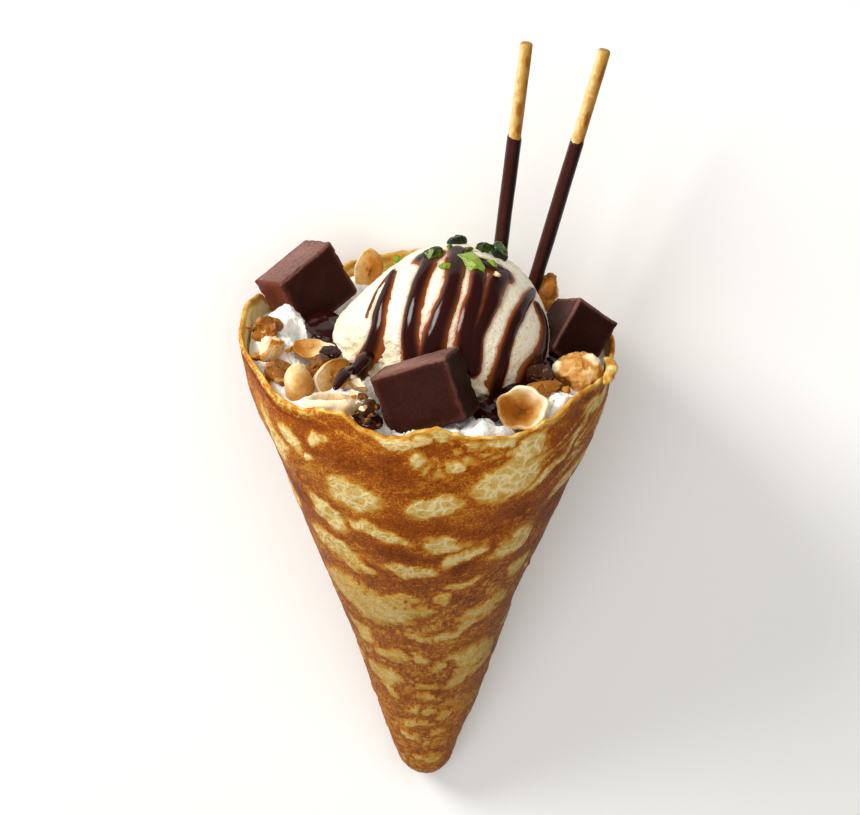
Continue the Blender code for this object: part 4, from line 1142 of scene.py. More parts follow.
def make_crepe(sizes, tones):
    """The crepe: outer wall with its relief and bake, rounded rim and inner wall, as one skin.

    The outer wall moves along its normal by two rough noises, plus the blisters of the pale patches.
    """
    theta = crepe_columns()
    outside, crease = crepe_outside(theta, sizes)
    over, inside = crepe_rim(theta, sizes)
    angles = np.broadcast_to(theta, outside.shape[:2])
    height = outside[..., 2]
    bake, blister, hollow = crepe_bake(angles, height, outside)
    rim = rim_height(theta)
    below_rim = rim - height
    rim_line = 1.0 - smooth_step(below_rim, 0.6, 2.2)
    bake = blend(bake, 0.34 + 0.26 * rough_noise(outside / 3.0, 3), 0.75 * rim_line)
    lip = lip_cover(theta)
    band = lip * (1.0 - smooth_step(below_rim, LIP_DROP - 0.5, LIP_DROP))
    # Pale streaks on the lip's band: partly baked colour, partly painted highlight on the roll.
    streaks = ridged_noise(outside * np.array((1.0, 1.0, 2.4)) / 2.4, 2)
    bake = blend(bake, 0.5 - 0.4 * smooth_step(streaks, 0.5, 0.9), band)
    lift = 0.45 * rough_noise(outside / 13.0, 2) + 0.16 * rough_noise(outside / 4.0, 3)
    lift = lift + sizes.blister / MM * (blister - 0.35 * (bake < 0.45))
    lift = lift * smooth_step(below_rim, 0.2, 3.0)
    away = direction(angles, np.full(angles.shape, -HALF_ANGLE))
    outside = outside + lift[..., None] * away
    wave = 0.3 * rough_noise(inside / 7.0, 3)
    inside_bake = 0.16 + 0.28 * rough_noise(inside * np.array((1.0, 1.0, 1.6)) / 5.0, 4)
    inside_rim = 1.0 - smooth_step(rim - inside[..., 2], 0.8, 2.6)
    inside_bake = blend(inside_bake, 0.5, inside_rim)
    inside = inside - wave[..., None] * direction(np.broadcast_to(theta, inside.shape[:2]), 0.0)
    over_bake = 0.36 + 0.22 * rough_noise(over / 2.6, 3)
    mouth = sizes.mouth_radius / MM
    rings = np.concatenate([press_back(outside, mouth), press_back(over, mouth), inside])
    points, quads, fans = skin_arrays(rings, (TIP_LEAN + TIP_SKEW, 0.0, TIP_CAP - TIP_LENGTH),
                                      (TIP_LEAN, 0.0, INNER_TIP))
    # Painted shade: darker down the cone, less so at the tip, and darker at the right.
    right = smooth_step(np.cos(angles - math.radians(348.0)), 0.62, 0.98)
    tip = smooth_step(-height, 96.0, 124.0)
    dim = 0.27 * smooth_step(-height, 12.0, 84.0) * (1.0 - 0.5 * tip) + DIM_RIGHT * right
    unseen = np.zeros((len(over) + len(inside), len(theta)))
    values = {
        "bake": (bake, np.concatenate([over_bake, inside_bake])),
        "crease": (crease, unseen), "patch": (hollow * (1.0 - rim_line), unseen), "dim": (dim, unseen),
        "speckle": (blend(0.3, 0.16, smooth_step(-height, 50.0, 72.0)), unseen),
        "veined": (blend(0.12, 1.0, smooth_step(-height, 40.0, 66.0)) * (1.0 - 0.55 * blister), unseen),
    }
    values = {key: with_poles(np.concatenate(parts), 0.4, 0.4) for key, parts in values.items()}
    make_piece("crepe", points, quads, fans, crepe_material(tones), "crepe", ("crepe_wrap",), **values)


def make_rim_curl():
    """The loose curl of the rim at the right: a small roll, pale along its back."""
    points, quads, fans = drop(RIM_CURL, CURL_HALVES, 36, 60)
    points = points + 0.25 * noise_vectors(points / 2.4, (0.0, 9.0, 18.0), 3)
    bake = 0.34 + 0.3 * rough_noise(points / 2.2, 3)
    blank = np.zeros(len(points))
    # The curl takes a little painted shade all over.
    make_piece("rim_curl", points, quads, fans, bpy.data.materials["baked_crepe"], "crepe",
               bake=bake, crease=blank, patch=blank, dim=blank + 0.1, speckle=blank + 0.3, veined=blank)


def cream_height(x, y):
    """Height of the cream: an S-curve from the middle's up to the rim's, plus a bell curve each swirl."""
    out = np.hypot(x, y) / MOUTH_RADIUS
    height = CREAM_MIDDLE + (CREAM_LEVEL - CREAM_MIDDLE) * smooth_step(out, 0.35, 0.8)
    for cx, cy, radius, rise in CREAM_SWIRLS:
        height = height + rise * np.exp(-((x - cx) ** 2 + (y - cy) ** 2) / radius ** 2)
    return height


def make_cream(sizes, tones):
    """Whipped cream: rings just inside the wall, closed by shrinking ones at cream_height.

    Ridged noise draws the top up into peaks, and finer noise pulls it sideways.
    """
    theta = round_angles(CREAM_COLUMNS)
    below = np.array([inside_ring(theta, level, sizes, CREAM_GAP) for level in CREAM_BELOW])
    follow = np.minimum(rim_height(theta), 0.0) + 0.4 * np.maximum(rim_height(theta), 0.0)
    part = np.linspace(1.0, 0.02, CREAM_ROWS)[:, None] ** 0.85
    edge = below[-1]
    x, y = edge[:, 0] * part, edge[:, 1] * part
    z = cream_height(x, y) + follow * smooth_step(part, 0.6, 1.0)
    top = np.stack([x, y, z], axis=-1)
    crest = 0.6 * ridged_noise(top * np.array((1.0, 1.0, 0.5)) / 6.0 + 1.0, 3)
    crest = crest + 0.55 * ridged_noise(top * np.array((1.0, 1.0, 0.4)) / 2.4 + 60.0, 3)
    swirl = value_noise(top / 3.0 + 40.0)
    fade = 1.0 - smooth_step(part, 0.93, 1.0)
    top[..., 2] += fade * (sizes.fluff / MM * (crest - 0.45) * 1.6 + 0.3 * swirl)
    for axis in (0, 1):
        pull = 0.9 * value_noise(top / 4.0 + 7.0 + 16.0 * axis) + 0.9 * value_noise(top / 1.6 + 3.0 + axis)
        top[..., axis] += fade * pull
    rings = np.concatenate([below, top])
    points, quads, fans = skin_arrays(rings, (TIP_LEAN, 0.0, INNER_TIP + 2.0),
                                      (0.0, 0.0, top[-1, :, 2].mean()))
    make_piece("cream", points, quads, fans, cream_material(tones), "cream", ("whipped_cream",))


# ---------------------------------------------------------------- ice cream and sauce


def scoop_reach(azimuth, elevation):
    """Radius of the ball in a direction: SCOOP_RADIUS plus a bell curve for each bulge of its foot."""
    radius = SCOOP_RADIUS + 0.0 * azimuth
    for turn, up, spread, rise in SCOOP_BULGES:
        across = angle_between(azimuth, math.radians(turn)) * np.cos(elevation)
        along = elevation - math.radians(up)
        radius = radius + rise * np.exp(-(across ** 2 + along ** 2) / math.radians(spread) ** 2)
    return radius


def make_scoop(sizes, tones):
    """The ball of ice cream: centre + way * radius.

    The radius is scoop_reach plus scraped and dragged noise, less pits and the torn spot, with rough
    noise and deeper pores at the foot.
    """
    azimuth, elevation, way = ball_grid(360, -89.0, 89.0, 230)
    radius = scoop_reach(azimuth, elevation)
    points = way * radius[..., None]
    pores = sizes.pores / MM
    low = 1.0 - smooth_step(elevation, math.radians(-14.0), math.radians(14.0))
    left = np.exp(-(angle_between(azimuth, math.radians(215.0)) / 0.75) ** 2)
    foot = np.clip(low + 0.8 * left * (1.0 - smooth_step(elevation, 0.1, 0.55)), 0.0, 1.0)
    drag = rough_noise(points * np.array((1.0, 1.0, 0.35)) / 3.0, 3)
    first, _ = cell_distances(points / 2.4)
    torn = rough_noise(points / 2.6 + 31.0, 3)
    scrape = rough_noise(points * np.array((1.0, 1.0, 1.8)) / 1.7 + 80.0, 2)
    radius = radius + (0.11 + 0.1 * value_noise(points / 8.0 + 6.0)) * scrape
    radius = radius + 0.12 * drag + foot * (0.9 * torn - pores * 2.0 * (1.0 - smooth_step(first, 0.1, 0.5)))
    across = angle_between(azimuth, math.radians(TORN_AT[0])) * np.cos(elevation)
    apart = np.hypot(across, elevation - math.radians(TORN_AT[1])) / math.radians(TORN_AT[2])
    rip = 1.0 - smooth_step(apart + 0.3 * drag, 0.75, 1.0)
    radius = radius - rip * (0.5 + 0.8 * ridged_noise(points / 4.0 + 60.0, 2))
    speck, _ = cell_distances(points / 1.5 + 12.0)
    pit = 1.0 - smooth_step(speck, 0.12, 0.34)
    radius = radius - pores * pit * smooth_step(value_noise(points / 9.0), -0.1, 0.5)
    hollow = np.clip(pit * 0.6 + foot * (0.5 - 0.9 * torn) + 0.35 * rip, 0.0, 1.0)
    reach = sauce_reach(way.reshape(-1, 3))[0].reshape(azimuth.shape)
    stain = 1.0 - smooth_step(reach, 0.9, 1.5)
    rings = SCOOP_CENTRE + way * radius[..., None]
    pole = np.array((0.0, 0.0, SCOOP_RADIUS))
    points, quads, fans = skin_arrays(rings, SCOOP_CENTRE - pole, SCOOP_CENTRE + pole)
    make_piece("ice_cream", points, quads, fans, vanilla_material(tones), "vanilla", ("vanilla_scoop",),
               hollow=with_poles(hollow, 0.0, 0.0), stain=with_poles(stain, 0.0, 1.0))


def sauce_reach(way):
    """Distance from the routes of the sauce, in half widths, and the depth of the nearest run in mm.

    A distance on the ball is radius * sqrt(2 - 2 * cosine of the angle), and a little noise widens and
    narrows the runs.
    """
    wobble = 1.0 + 0.1 * value_noise(way * 8.0) + 0.04 * value_noise(way * 19.0)
    reach = np.full(way.shape[:-1], 9.0)
    depths = np.full(way.shape[:-1], 1.0)
    for widths, depth, route in SAUCE_RUNS:
        turn, up = np.radians(np.array(route, float)).T
        line = rounded_route(direction(turn, up), ROUTE_SAMPLES)
        line /= np.linalg.norm(line, axis=-1, keepdims=True)
        half = spread_evenly(widths, ROUTE_SAMPLES)
        share = SCOOP_RADIUS / (half * SAUCE_SPREAD)
        apart = ((1.0 - way @ line.T) * share ** 2).min(axis=-1)
        part = np.sqrt(2.0 * np.maximum(apart, 0.0)) * wobble
        depths = np.where(part < reach, depth, depths)
        reach = np.minimum(reach, part)
    return reach, depths


def make_sauce_runs(tones):
    """Sauce on the ball: a skin proud of the ball by depth * (1 - reach^2.4), cut away elsewhere."""
    azimuth, elevation, way = ball_grid(440, -40.0, 89.2, 260)
    reach, depths = (part.reshape(azimuth.shape) for part in sauce_reach(way.reshape(-1, 3)))
    height = np.maximum(depths * (1.0 - np.minimum(reach, 3.0) ** 2.4), -SAUCE_SUNK)
    swell = 0.14 * value_noise(way * 7.0 + 3.0) * smooth_step(height, 0.1, 0.7)
    rings = SCOOP_CENTRE + way * (scoop_reach(azimuth, elevation) + height + swell)[..., None]
    film = (1.0 - smooth_step(reach, 0.3, 1.02)) * np.minimum(depths / 0.6, 1.0)
    points, quads, fans = skin_arrays(rings)
    film, height = with_poles(film), with_poles(height)
    quads, fans = (faces[(height[faces] > -0.98 * SAUCE_SUNK).any(axis=-1)] for faces in (quads, fans))
    used = np.unique(np.concatenate([quads.ravel(), fans.ravel()]))
    piece = make_piece("sauce_runs", points[used], np.searchsorted(used, quads), np.searchsorted(used, fans),
                       sauce_material(tones), "coat", film=film[used])
    wall = piece.modifiers.new("sauce_body", "SOLIDIFY")
    wall.thickness = SAUCE_WALL * MM
    wall.offset = -1.0


def blob(centre, halves, turn, seed, rough, columns=64, rows=40):
    """A pool: an ellipsoid whose radius is pulled about by soft noise, coarse and fine."""
    _, _, way = ball_grid(columns, -88.0, 88.0, rows)
    reach = 1.0 + rough * value_noise(way * 1.6 + seed) + 0.5 * rough * value_noise(way * 3.7 + seed)
    turned = turned_by(turn)
    rings = (way * reach[..., None] * np.array(halves)) @ turned.T + np.array(centre)
    pole = turned @ np.array((0.0, 0.0, halves[2]))
    return skin_arrays(rings, np.array(centre) - pole, np.array(centre) + pole)


def drop(route, halves, sides=28, steps=40):
    """A long drop: ellipses along a route, half width * sqrt(1 - (2 |t - 1/2|)^6) across."""
    line = rounded_route(route, steps)
    t = np.linspace(0.0, 1.0, steps)
    half = spread_evenly(halves, steps) * np.sqrt(np.clip(1.0 - (2.0 * np.abs(t - 0.5)) ** 6, 0.02, 1.0))
    along = np.gradient(line, axis=0)
    along /= np.linalg.norm(along, axis=-1, keepdims=True)
    side = np.cross(along, (0.0, 0.0, 1.0))
    side /= np.linalg.norm(side, axis=-1, keepdims=True)
    up = np.cross(side, along)
    angles = round_angles(sides)[None, :, None]
    across = np.cos(angles) * side[:, None] + 0.75 * np.sin(angles) * up[:, None]
    rings = line[:, None] + half[:, None, None] * across
    return skin_arrays(rings[:, ::-1], line[0] - 0.2 * along[0], line[-1] + 0.2 * along[-1])


def make_sauce_pools():
    """Sauce beside the ball, in pools on the cream and in thick drops over the nuts; one pool lies among the
    front crumbs as a dark sheet of painted shade.
    """
    shapes = [blob(centre, halves, (tilt, 0, heading), 3.0 * seed + 1.0, POOL_ROUGH)
              for seed, (centre, halves, heading, tilt) in enumerate(SAUCE_POOLS)]
    shapes += [drop(route, halves) for route, halves in SAUCE_DROPS]
    points, quads, fans, film = merged([(*shape, np.full(len(shape[0]), POOL_FILM)) for shape in shapes])
    make_piece("sauce_pools", points, quads, fans, bpy.data.materials["chocolate_sauce"], "coat", film=film)


# ---------------------------------------------------------------- chocolate and sticks


def box_rings(size, bevel):
    """Rings of a rounded box from its lower to its upper face, with how near each point is an edge.

    Each ring is one outline, of straight sides and quarter circles, times that row's width and depth.
    """
    a, b, c = np.array(size) / 2.0
    turn = np.radians(np.linspace(0.0, 90.0, 5))
    side = np.linspace(-1.0, 1.0, 26)[1:-1]
    worn = np.exp(-((1.0 - np.abs(side)) * 14.0) ** 2)
    corners = [np.stack([sx * (a - bevel) + bevel * np.cos(turn + quarter * math.pi / 2.0),
                         sy * (b - bevel) + bevel * np.sin(turn + quarter * math.pi / 2.0)], axis=-1)
               for quarter, (sx, sy) in enumerate(((1, 1), (-1, 1), (-1, -1), (1, -1)))]
    along = (0.5 + 0.5 * side)[:, None]
    outline = np.concatenate([part for corner, following in zip(corners, corners[1:] + corners[:1])
                              for part in (corner, blend(corner[-1], following[0], along))])
    near = np.tile(np.concatenate([np.ones(len(turn)), worn]), 4)
    grow = np.linspace(0.04, 0.95, 20)
    drawn_in = bevel * (1.0 - np.sin(turn))
    half = [np.stack([grow, grow, np.full(len(grow), -c)], axis=-1),
            np.stack([1.0 - drawn_in / a, 1.0 - drawn_in / b, -c + bevel * (1.0 - np.cos(turn))], axis=-1)]
    sides = np.stack([np.ones(len(side)), np.ones(len(side)), side * (c - bevel)], axis=-1)
    upper = [part[::-1] * np.array((1.0, 1.0, -1.0)) for part in half[::-1]]
    rows = np.concatenate([*half, sides, *upper])
    cap_edge = smooth_step(grow, 0.93, 1.0)
    row_edge = np.concatenate([cap_edge, np.ones(len(turn)), worn, np.ones(len(turn)), cap_edge[::-1]])
    points = np.stack([outline[:, 0] * rows[:, :1], outline[:, 1] * rows[:, 1:2],
                       rows[:, 2:] + 0.0 * outline[:, 0]], axis=-1)
    on_side = (np.abs(rows[:, 2]) < c - 0.5 * bevel)[:, None]
    return points, np.where(on_side, np.maximum(near, row_edge[:, None]), row_edge[:, None])


def make_blocks(sizes, tones):
    """The three cut blocks of chocolate: rounded boxes moved by noise, chipped along their edges."""
    material = chocolate_material(tones)
    for index, (name, size, middle, turn, dim, glow) in enumerate(BLOCKS):
        points, edge = box_rings(size, sizes.block_bevel / MM)
        seeded = points + 31.0 * (index + 1)
        wave = noise_vectors(seeded / 6.0, (0.0, 11.0, 23.0))
        small = noise_vectors(seeded / 1.3, (5.0, 17.0, 29.0))
        chip = smooth_step(value_noise(seeded / 1.7 + 40.0), 0.15, 0.8) * edge
        outward = points / np.linalg.norm(points, axis=-1, keepdims=True)
        normal = points / (np.array(size) / 2.0)
        points = points + 0.26 * wave + 0.06 * small - 0.55 * chip[..., None] * outward
        turned = turned_by(turn)
        skin, quads, fans = skin_arrays(points @ turned.T + np.array(middle))
        face_up = (np.sign(normal) * (np.abs(normal) > 0.93)) @ turned.T
        # Bloom on the upward faces, also painted light on them.
        dust = 0.03 + (0.74 - 0.2 * glow) * smooth_step(face_up[..., 2], 0.5, 0.85)
        dust = dust * (1.0 + 0.4 * wave[..., 0])
        # Painted shade on the faces turned from KEY_FROM, and painted light on the side face turned to it.
        lit = np.clip(face_up @ KEY_FROM, 0.0, 1.0)
        shadow = dim * (1.0 - smooth_step(lit, 0.3, 0.6))
        glow = glow * smooth_step(-face_up[..., 0], 0.5, 0.65) * (0.85 + 0.4 * wave[..., 1])
        make_piece(f"chocolate_{name}", skin, quads, fans, material, "chocolate",
                   (f"chocolate_block_{name}",), flat_over=50.0, edge=with_poles(edge, 0.0, 0.0),
                   dust=with_poles(dust), dim=with_poles(shadow), glow=with_poles(glow))


def stick_frame(leaves, upper_end):
    """Start of a stick, its direction and two directions across it."""
    along = np.array(upper_end) - np.array(leaves)
    along /= np.linalg.norm(along)
    side = np.cross(along, (0.0, 1.0, 0.0))
    side /= np.linalg.norm(side)
    return np.array(upper_end) - along * STICK_LENGTH, along, side, np.cross(along, side)


def rod_rings(leaves, upper_end, stops, radii):
    """Rings round a stick: start + stop * along + radius * (cosine * side + sine * up)."""
    start, along, side, up = stick_frame(leaves, upper_end)
    angles = round_angles(STICK_SIDES)
    across = np.cos(angles)[:, None] * side + np.sin(angles)[:, None] * up
    return start + stops[:, None, None] * along + radii[..., None] * across


def noise_place(radius, along):
    """Points round a stick of this radius at these distances along it, where its noise is read."""
    angles = round_angles(STICK_SIDES)[None]
    return np.stack(np.broadcast_arrays(radius * np.cos(angles), radius * np.sin(angles), along[:, None]),
                    axis=-1)


def rounded_end(left, reach):
    """Quarter circle from 0 where nothing is left to 1 where reach or more is left."""
    return np.sqrt(1.0 - (1.0 - np.clip(left / reach, 0.0, 1.0)) ** 2)[:, None]


def make_sticks(sizes, tones):
    """Two biscuit sticks: rods with a noisy radius, each with its scorched bare end and its coat."""
    biscuit, chocolate = biscuit_material(tones), coat_material(tones)
    coated = STICK_LENGTH - BARE_LENGTH
    bare = sizes.stick_radius / MM
    stops = np.concatenate([np.linspace(0.0, coated - 4.0, 8), np.linspace(coated - 3.0, STICK_LENGTH, 90)])
    angles = round_angles(STICK_SIDES)
    for index, (name, leaves, upper_end) in enumerate(STICKS):
        place = noise_place(3.0, stops + 50.0 * index)
        radii = bare * (0.72 + 0.28 * rounded_end(STICK_LENGTH - stops, 0.7))
        radii = radii * (1.0 + 0.05 * value_noise(place / np.array((2.0, 2.0, 5.0))))
        radii = np.where(stops[:, None] < coated - 3.5, 0.7 * bare, radii)
        rings = rod_rings(leaves, upper_end, stops, radii)
        _, _, side, up = stick_frame(leaves, upper_end)
        shown = math.atan2(float(up @ VIEW_FROM), float(side @ VIEW_FROM))
        rightward = math.atan2(float(up[0]), float(side[0]))
        waver = 0.35 * value_noise(place * np.array((0.5, 0.5, 0.9)))
        # The cosine term is painted shade: darker towards the right.
        toast = 0.28 + 0.34 * np.cos(angles - rightward)[None] + 0.2 * waver
        for below, turn, half_length in SCORCHES[name]:
            hand = math.copysign(1.0, math.sin(rightward - shown))
            across = bare * angle_between(angles, shown + hand * math.radians(turn)) / 0.85
            spot = np.hypot(across[None], (STICK_LENGTH - stops[:, None] - below) / half_length) + waver
            toast = np.maximum(toast, 0.82 * (1.0 - smooth_step(spot, 0.55, 1.3)))
        toast = np.maximum(toast, 0.5 * smooth_step(stops, STICK_LENGTH - 0.5, STICK_LENGTH)[:, None])
        points, quads, fans = skin_arrays(rings)
        make_piece(f"biscuit_{name}", points, quads, fans, biscuit, "biscuit", (f"biscuit_stick_{name}",),
                   toast=with_poles(toast, 0.3, 0.5))
        make_coat(name, leaves, upper_end, sizes, chocolate, place_seed=index)


def make_coat(name, leaves, upper_end, sizes, material, place_seed):
    """The coat of one stick: a sleeve with slow ripples whose upper edge wavers and rounds off."""
    coated = STICK_LENGTH - BARE_LENGTH
    radius = sizes.coat_radius / MM
    stops = np.concatenate([[0.0, 0.3], np.linspace(1.0, coated - 1.2, 80),
                            np.linspace(coated - 1.0, coated, 8)])
    place = noise_place(3.0, stops + 80.0 * place_seed)
    ripple = 1.0 + 0.035 * value_noise(place / np.array((3.0, 3.0, 9.0)) + 3.0)
    radii = blend(0.8 * radius, radius * ripple, rounded_end(coated - stops, 0.9))
    radii[0] = 0.5 * radius
    rings = rod_rings(leaves, upper_end, stops, radii)
    _, along, side, up = stick_frame(leaves, upper_end)
    waver = 0.7 * value_noise(noise_place(1.6, np.array((float(place_seed),)))[0])
    near_edge = smooth_step(stops, coated - 4.0, coated)[:, None, None]
    rings = rings + near_edge * waver[None, :, None] * along
    points, quads, fans = skin_arrays(rings)
    angles = round_angles(STICK_SIDES)
    # Painted shade: darker on the side that faces +X, away from the light.
    dim = smooth_step(np.cos(angles) * side[0] + np.sin(angles) * up[0], -0.25, 0.75)
    dim = with_poles(np.tile(dim, (len(stops), 1)), 0.5, 0.5)
    make_piece(f"coat_{name}", points, quads, fans, material, "coat", (f"stick_coat_{name}",), dim=dim)


# ---------------------------------------------------------------- nuts and pistachio


def half_nut(middle, facing, turn, length_mm, width, depth, lobes, hollow, crease, rough, darker, fade):
    """Half a hazelnut: a section (out, down) carried round an ellipse, with its tones.

    The section runs over the round back, the thick rim and the hollow.  Two sines make the rim lobed,
    a bell curve cuts the crease, and rough noise moves the skin outwards.
    """
    angles = round_angles(96)
    lip = min(1.0, 2.0 * hollow)
    section = np.array(((0.10, 1.0), (0.45, 0.92), (0.80, 0.62), (0.98, 0.22), (0.97, -0.08 * lip),
                        (0.86, -0.14 * lip), (0.70, 0.16 * hollow), (0.36, 0.82 * hollow), (0.06, hollow)))
    section = rounded_route(section, 58)
    out, down = section[:, :1], section[:, 1:]
    lobe = 1.0 + 0.05 * np.sin(lobes * angles + 0.8) + 0.03 * np.sin((lobes + 3) * angles)
    x = out * lobe * np.cos(angles) * length_mm / 2.0
    y = out * lobe * np.sin(angles) * width / 2.0
    z = -down * depth + 0.0 * angles
    rows = np.arange(len(section))
    face = smooth_step(rows, 22.0, 30.0)[:, None]
    z = z + face * 0.06 * depth * np.sin(2.0 * angles + lobes)
    local = np.stack([x, y, z], axis=-1)
    seeded = local + 13.0 * lobes + length_mm
    wave = rough_noise(seeded / 3.2, 3)
    inside = smooth_step(rows, 34.0, 42.0)[:, None]
    line = np.exp(-((y - 0.7 * value_noise(seeded / 3.0)) / 0.5) ** 2) * inside
    line = line * (1.0 - smooth_step(np.abs(x), 0.8 * crease * length_mm, crease * length_mm + 0.01))
    outward = local / np.maximum(np.linalg.norm(local, axis=-1, keepdims=True), 1.0)
    local = local + rough * wave[..., None] * outward
    local[..., 2] += 0.7 * rough * wave - 0.4 * line
    rim = np.exp(-((rows - 28.5) / 4.0) ** 2)[:, None] * (0.12 + 0.28 * hollow)
    core = smooth_step(rows, 38.0, 57.0)[:, None]
    azimuth, elevation = (math.radians(angle) for angle in facing)
    look = Vector(direction(np.array(azimuth), np.array(elevation)))
    turned = np.array(look.to_track_quat("Z", "Y").to_matrix() @ Matrix.Rotation(math.radians(turn), 3, "Z"))
    placed = local @ turned.T
    # shift is painted shade, darker along fade.
    shift = (fade[0] * placed[..., 0] + fade[1] * placed[..., 2]) * 2.0 / length_mm
    # core darkens the middle of the hollow as painted shade.
    tone = 0.38 + 0.1 * wave - rim + (0.15 * hollow - 0.06) * inside + 0.3 * line + 0.5 * hollow * core
    tone = tone + darker + shift
    return (*skin_arrays(placed + np.array(middle)), with_poles(tone))


def peeled_nut(middle, size, bumps, columns=96, rows=60):
    """A peeled nut: an egg whose radius gains a bell curve for each bump or dent, with its tones."""
    azimuth, _, way = ball_grid(columns, -87.0, 87.0, rows)
    reach, tone = np.ones(azimuth.shape), 0.33 + 0.06 * rough_noise(way * 2.4, 3)
    for turn, up, spread, rise, change in bumps:
        toward = direction(np.array(math.radians(turn)), np.array(math.radians(up)))
        apart = np.degrees(np.arccos(np.clip(way @ toward, -1.0, 1.0)))
        ragged = apart * (1.0 + 0.22 * value_noise(way * 5.0 + turn))
        reach = reach + rise * np.exp(-(ragged / spread) ** 2)
        tone = tone + change * (1.0 - smooth_step(ragged, 0.55 * spread, 1.15 * spread))
    fold = smooth_step(ridged_noise(way * np.array((3.6, 3.6, 1.1)) + 5.0, 2), 0.45, 0.9)
    reach = reach + 0.05 * rough_noise(way * 3.2 + 9.0, 4) + 0.07 * (fold - 0.5)
    tone = tone + 0.16 * (0.5 - fold)
    rings = way * reach[..., None] * np.array(size) / 2.0 + np.array(middle)
    return (*skin_arrays(rings), with_poles(tone, 0.4, 0.1))


def broken_piece(middle, turn, size, seed, tone, rough, shallowest, cuts, columns=72, rows=46):
    """A broken piece: an egg cut by flats, moved by rough noise and notched, and its tones.

    The reach in a direction is the least of 1 and, for each flat, its distance over the cosine of the
    angle to it.  No flat lies nearer the middle than shallowest.
    """
    rng = np.random.default_rng(seed)
    azimuth, _, way = ball_grid(columns, -87.0, 87.0, rows)
    reach, share, flat = np.ones(azimuth.shape), np.full(azimuth.shape, 0.8), np.zeros(azimuth.shape)
    for _ in range(cuts):
        normal = rng.normal(size=3)
        normal /= np.linalg.norm(normal)
        cut = rng.uniform(shallowest, shallowest + 0.23)
        plane = cut / np.maximum(way @ normal, 0.05)
        share = np.where(plane < reach, rng.random(), share)
        flat = np.where(plane < reach, 1.0, flat)
        reach = np.minimum(reach, plane)
    local = way * reach[..., None] * np.array(size) / 2.0
    seeded = local + 7.0 * seed
    wave = rough_noise(seeded / 2.4, 3)
    notch = smooth_step(ridged_noise(seeded / 4.0 + 3.0, 2), 0.55, 0.95)
    local = local + rough * (wave - 1.6 * notch)[..., None] * way * (0.6 + 0.8 * flat[..., None])
    heading, tilt, roll = turn
    rings = local @ turned_by((roll, -tilt, heading)).T + np.array(middle)
    tones = tone + 0.5 * (share - 0.6) + 0.16 * wave
    return (*skin_arrays(rings), with_poles(tones, tone, tone))


def make_nuts(tones):
    """Every hazelnut half and every piece of nut, each its own object in the place of its solid."""
    material = nut_material(tones)
    for name, values in HALVES.items():
        points, quads, fans, tone = half_nut(*values)
        make_piece(f"{name}_dressed", points, quads, fans, material, SLOTS[name], (name,), tone=tone)
    for name, (middle, turn, *size, seed, tone) in NUT_PIECES.items():
        points, quads, fans, tone = broken_piece(middle, turn, size, seed, tone, **NUT_BREAK)
        make_piece(f"{name}_dressed", points, quads, fans, material, SLOTS[name], (name,),
                   flat_over=32.0, tone=tone)
    points, quads, fans, tone = peeled_nut(*PEELED)
    make_piece("hazelnut_peeled_dressed", points, quads, fans, material, "nut_pale",
               ("hazelnut_peeled_right",), tone=tone)
    points, quads, fans, tone = merged([
        broken_piece(middle, (seed * 47.0, 20.0 * math.sin(seed), 30.0), size * CRUMB_SHAPE, seed + 90, tone,
                     **CRUMB_BREAK)
        for seed, (middle, size, tone) in enumerate(CRUMBS)])
    make_piece("nut_crumbs", points, quads, fans, material, "nut", flat_over=24.0, tone=tone)


def make_pistachio(tones):
    """Chopped pistachio on the crown of the ball, as one piece."""
    points, quads, fans, tone = merged([
        broken_piece(middle, (*turn, 0), size, seed + 60, tone, **PISTACHIO_BREAK)
        for middle, size, turn, seed, tone in PISTACHIOS])
    make_piece("pistachio_bits", points, quads, fans, pistachio_material(tones), "nut", flat_over=18.0,
               tone=tone)


# ---------------------------------------------------------------- stage


def make_stage(tones):
    """Pale floor, soft studio lights and the camera."""
    mesh = bpy.data.meshes.new("floor")
    corners = [(x * FLOOR_HALF, y * FLOOR_HALF, 0.0) for x, y in ((-1, -1), (1, -1), (1, 1), (-1, 1))]
    mesh.from_pydata(corners, [], [(0, 1, 2, 3)])
    mesh.materials.append(floor_material(tones))
    put_in_scene("floor", mesh)

    for name, place, size, power, tone in LIGHTS:
        lamp = bpy.data.lights.new(name, "AREA")
        lamp.size, lamp.energy, lamp.color = size, power, tone
        light = put_in_scene(name, lamp)
        light.visible_glossy = name == "key"
        light.location = place
        light.rotation_euler = (LIGHTS_AIM - Vector(place)).to_track_quat("-Z", "Y").to_euler()

    world = bpy.data.worlds.new("studio")
    world.use_nodes = True
    background = world.node_tree.nodes["Background"]
    background.inputs["Color"].default_value = SKY_TONE
    background.inputs["Strength"].default_value = SKY_STRENGTH
    bpy.context.scene.world = world
    bpy.context.scene.view_settings.view_transform = "Standard"

    data = bpy.data.cameras.new("camera")
    data.lens, data.sensor_width = CAMERA_LENS, 36.0
    data.clip_start, data.clip_end = 0.05, 10.0
    camera = put_in_scene("camera", data)
    matrix = Matrix((LAY_TURN @ np.stack([(1.0, 0.0, 0.0), VIEW_UP, VIEW_FROM], axis=-1)).tolist()).to_4x4()
    matrix.translation = Vector(laid_down(VIEW_FROM * CAMERA_DISTANCE - VIEW_UP * CAMERA_AIM))
    camera.matrix_world = matrix
    bpy.context.scene.camera = camera


# ---------------------------------------------------------------- operators and panel


class CREPE_OT_crepe(bpy.types.Operator):
    """Make the rolled crepe and the loose curl of its rim"""

    bl_idname = "crepe.crepe"
    bl_label = "Crepe"

    def execute(self, context):
        make_crepe(context.scene.crepe_sizes, context.scene.crepe_colours)
        make_rim_curl()
        return {"FINISHED"}


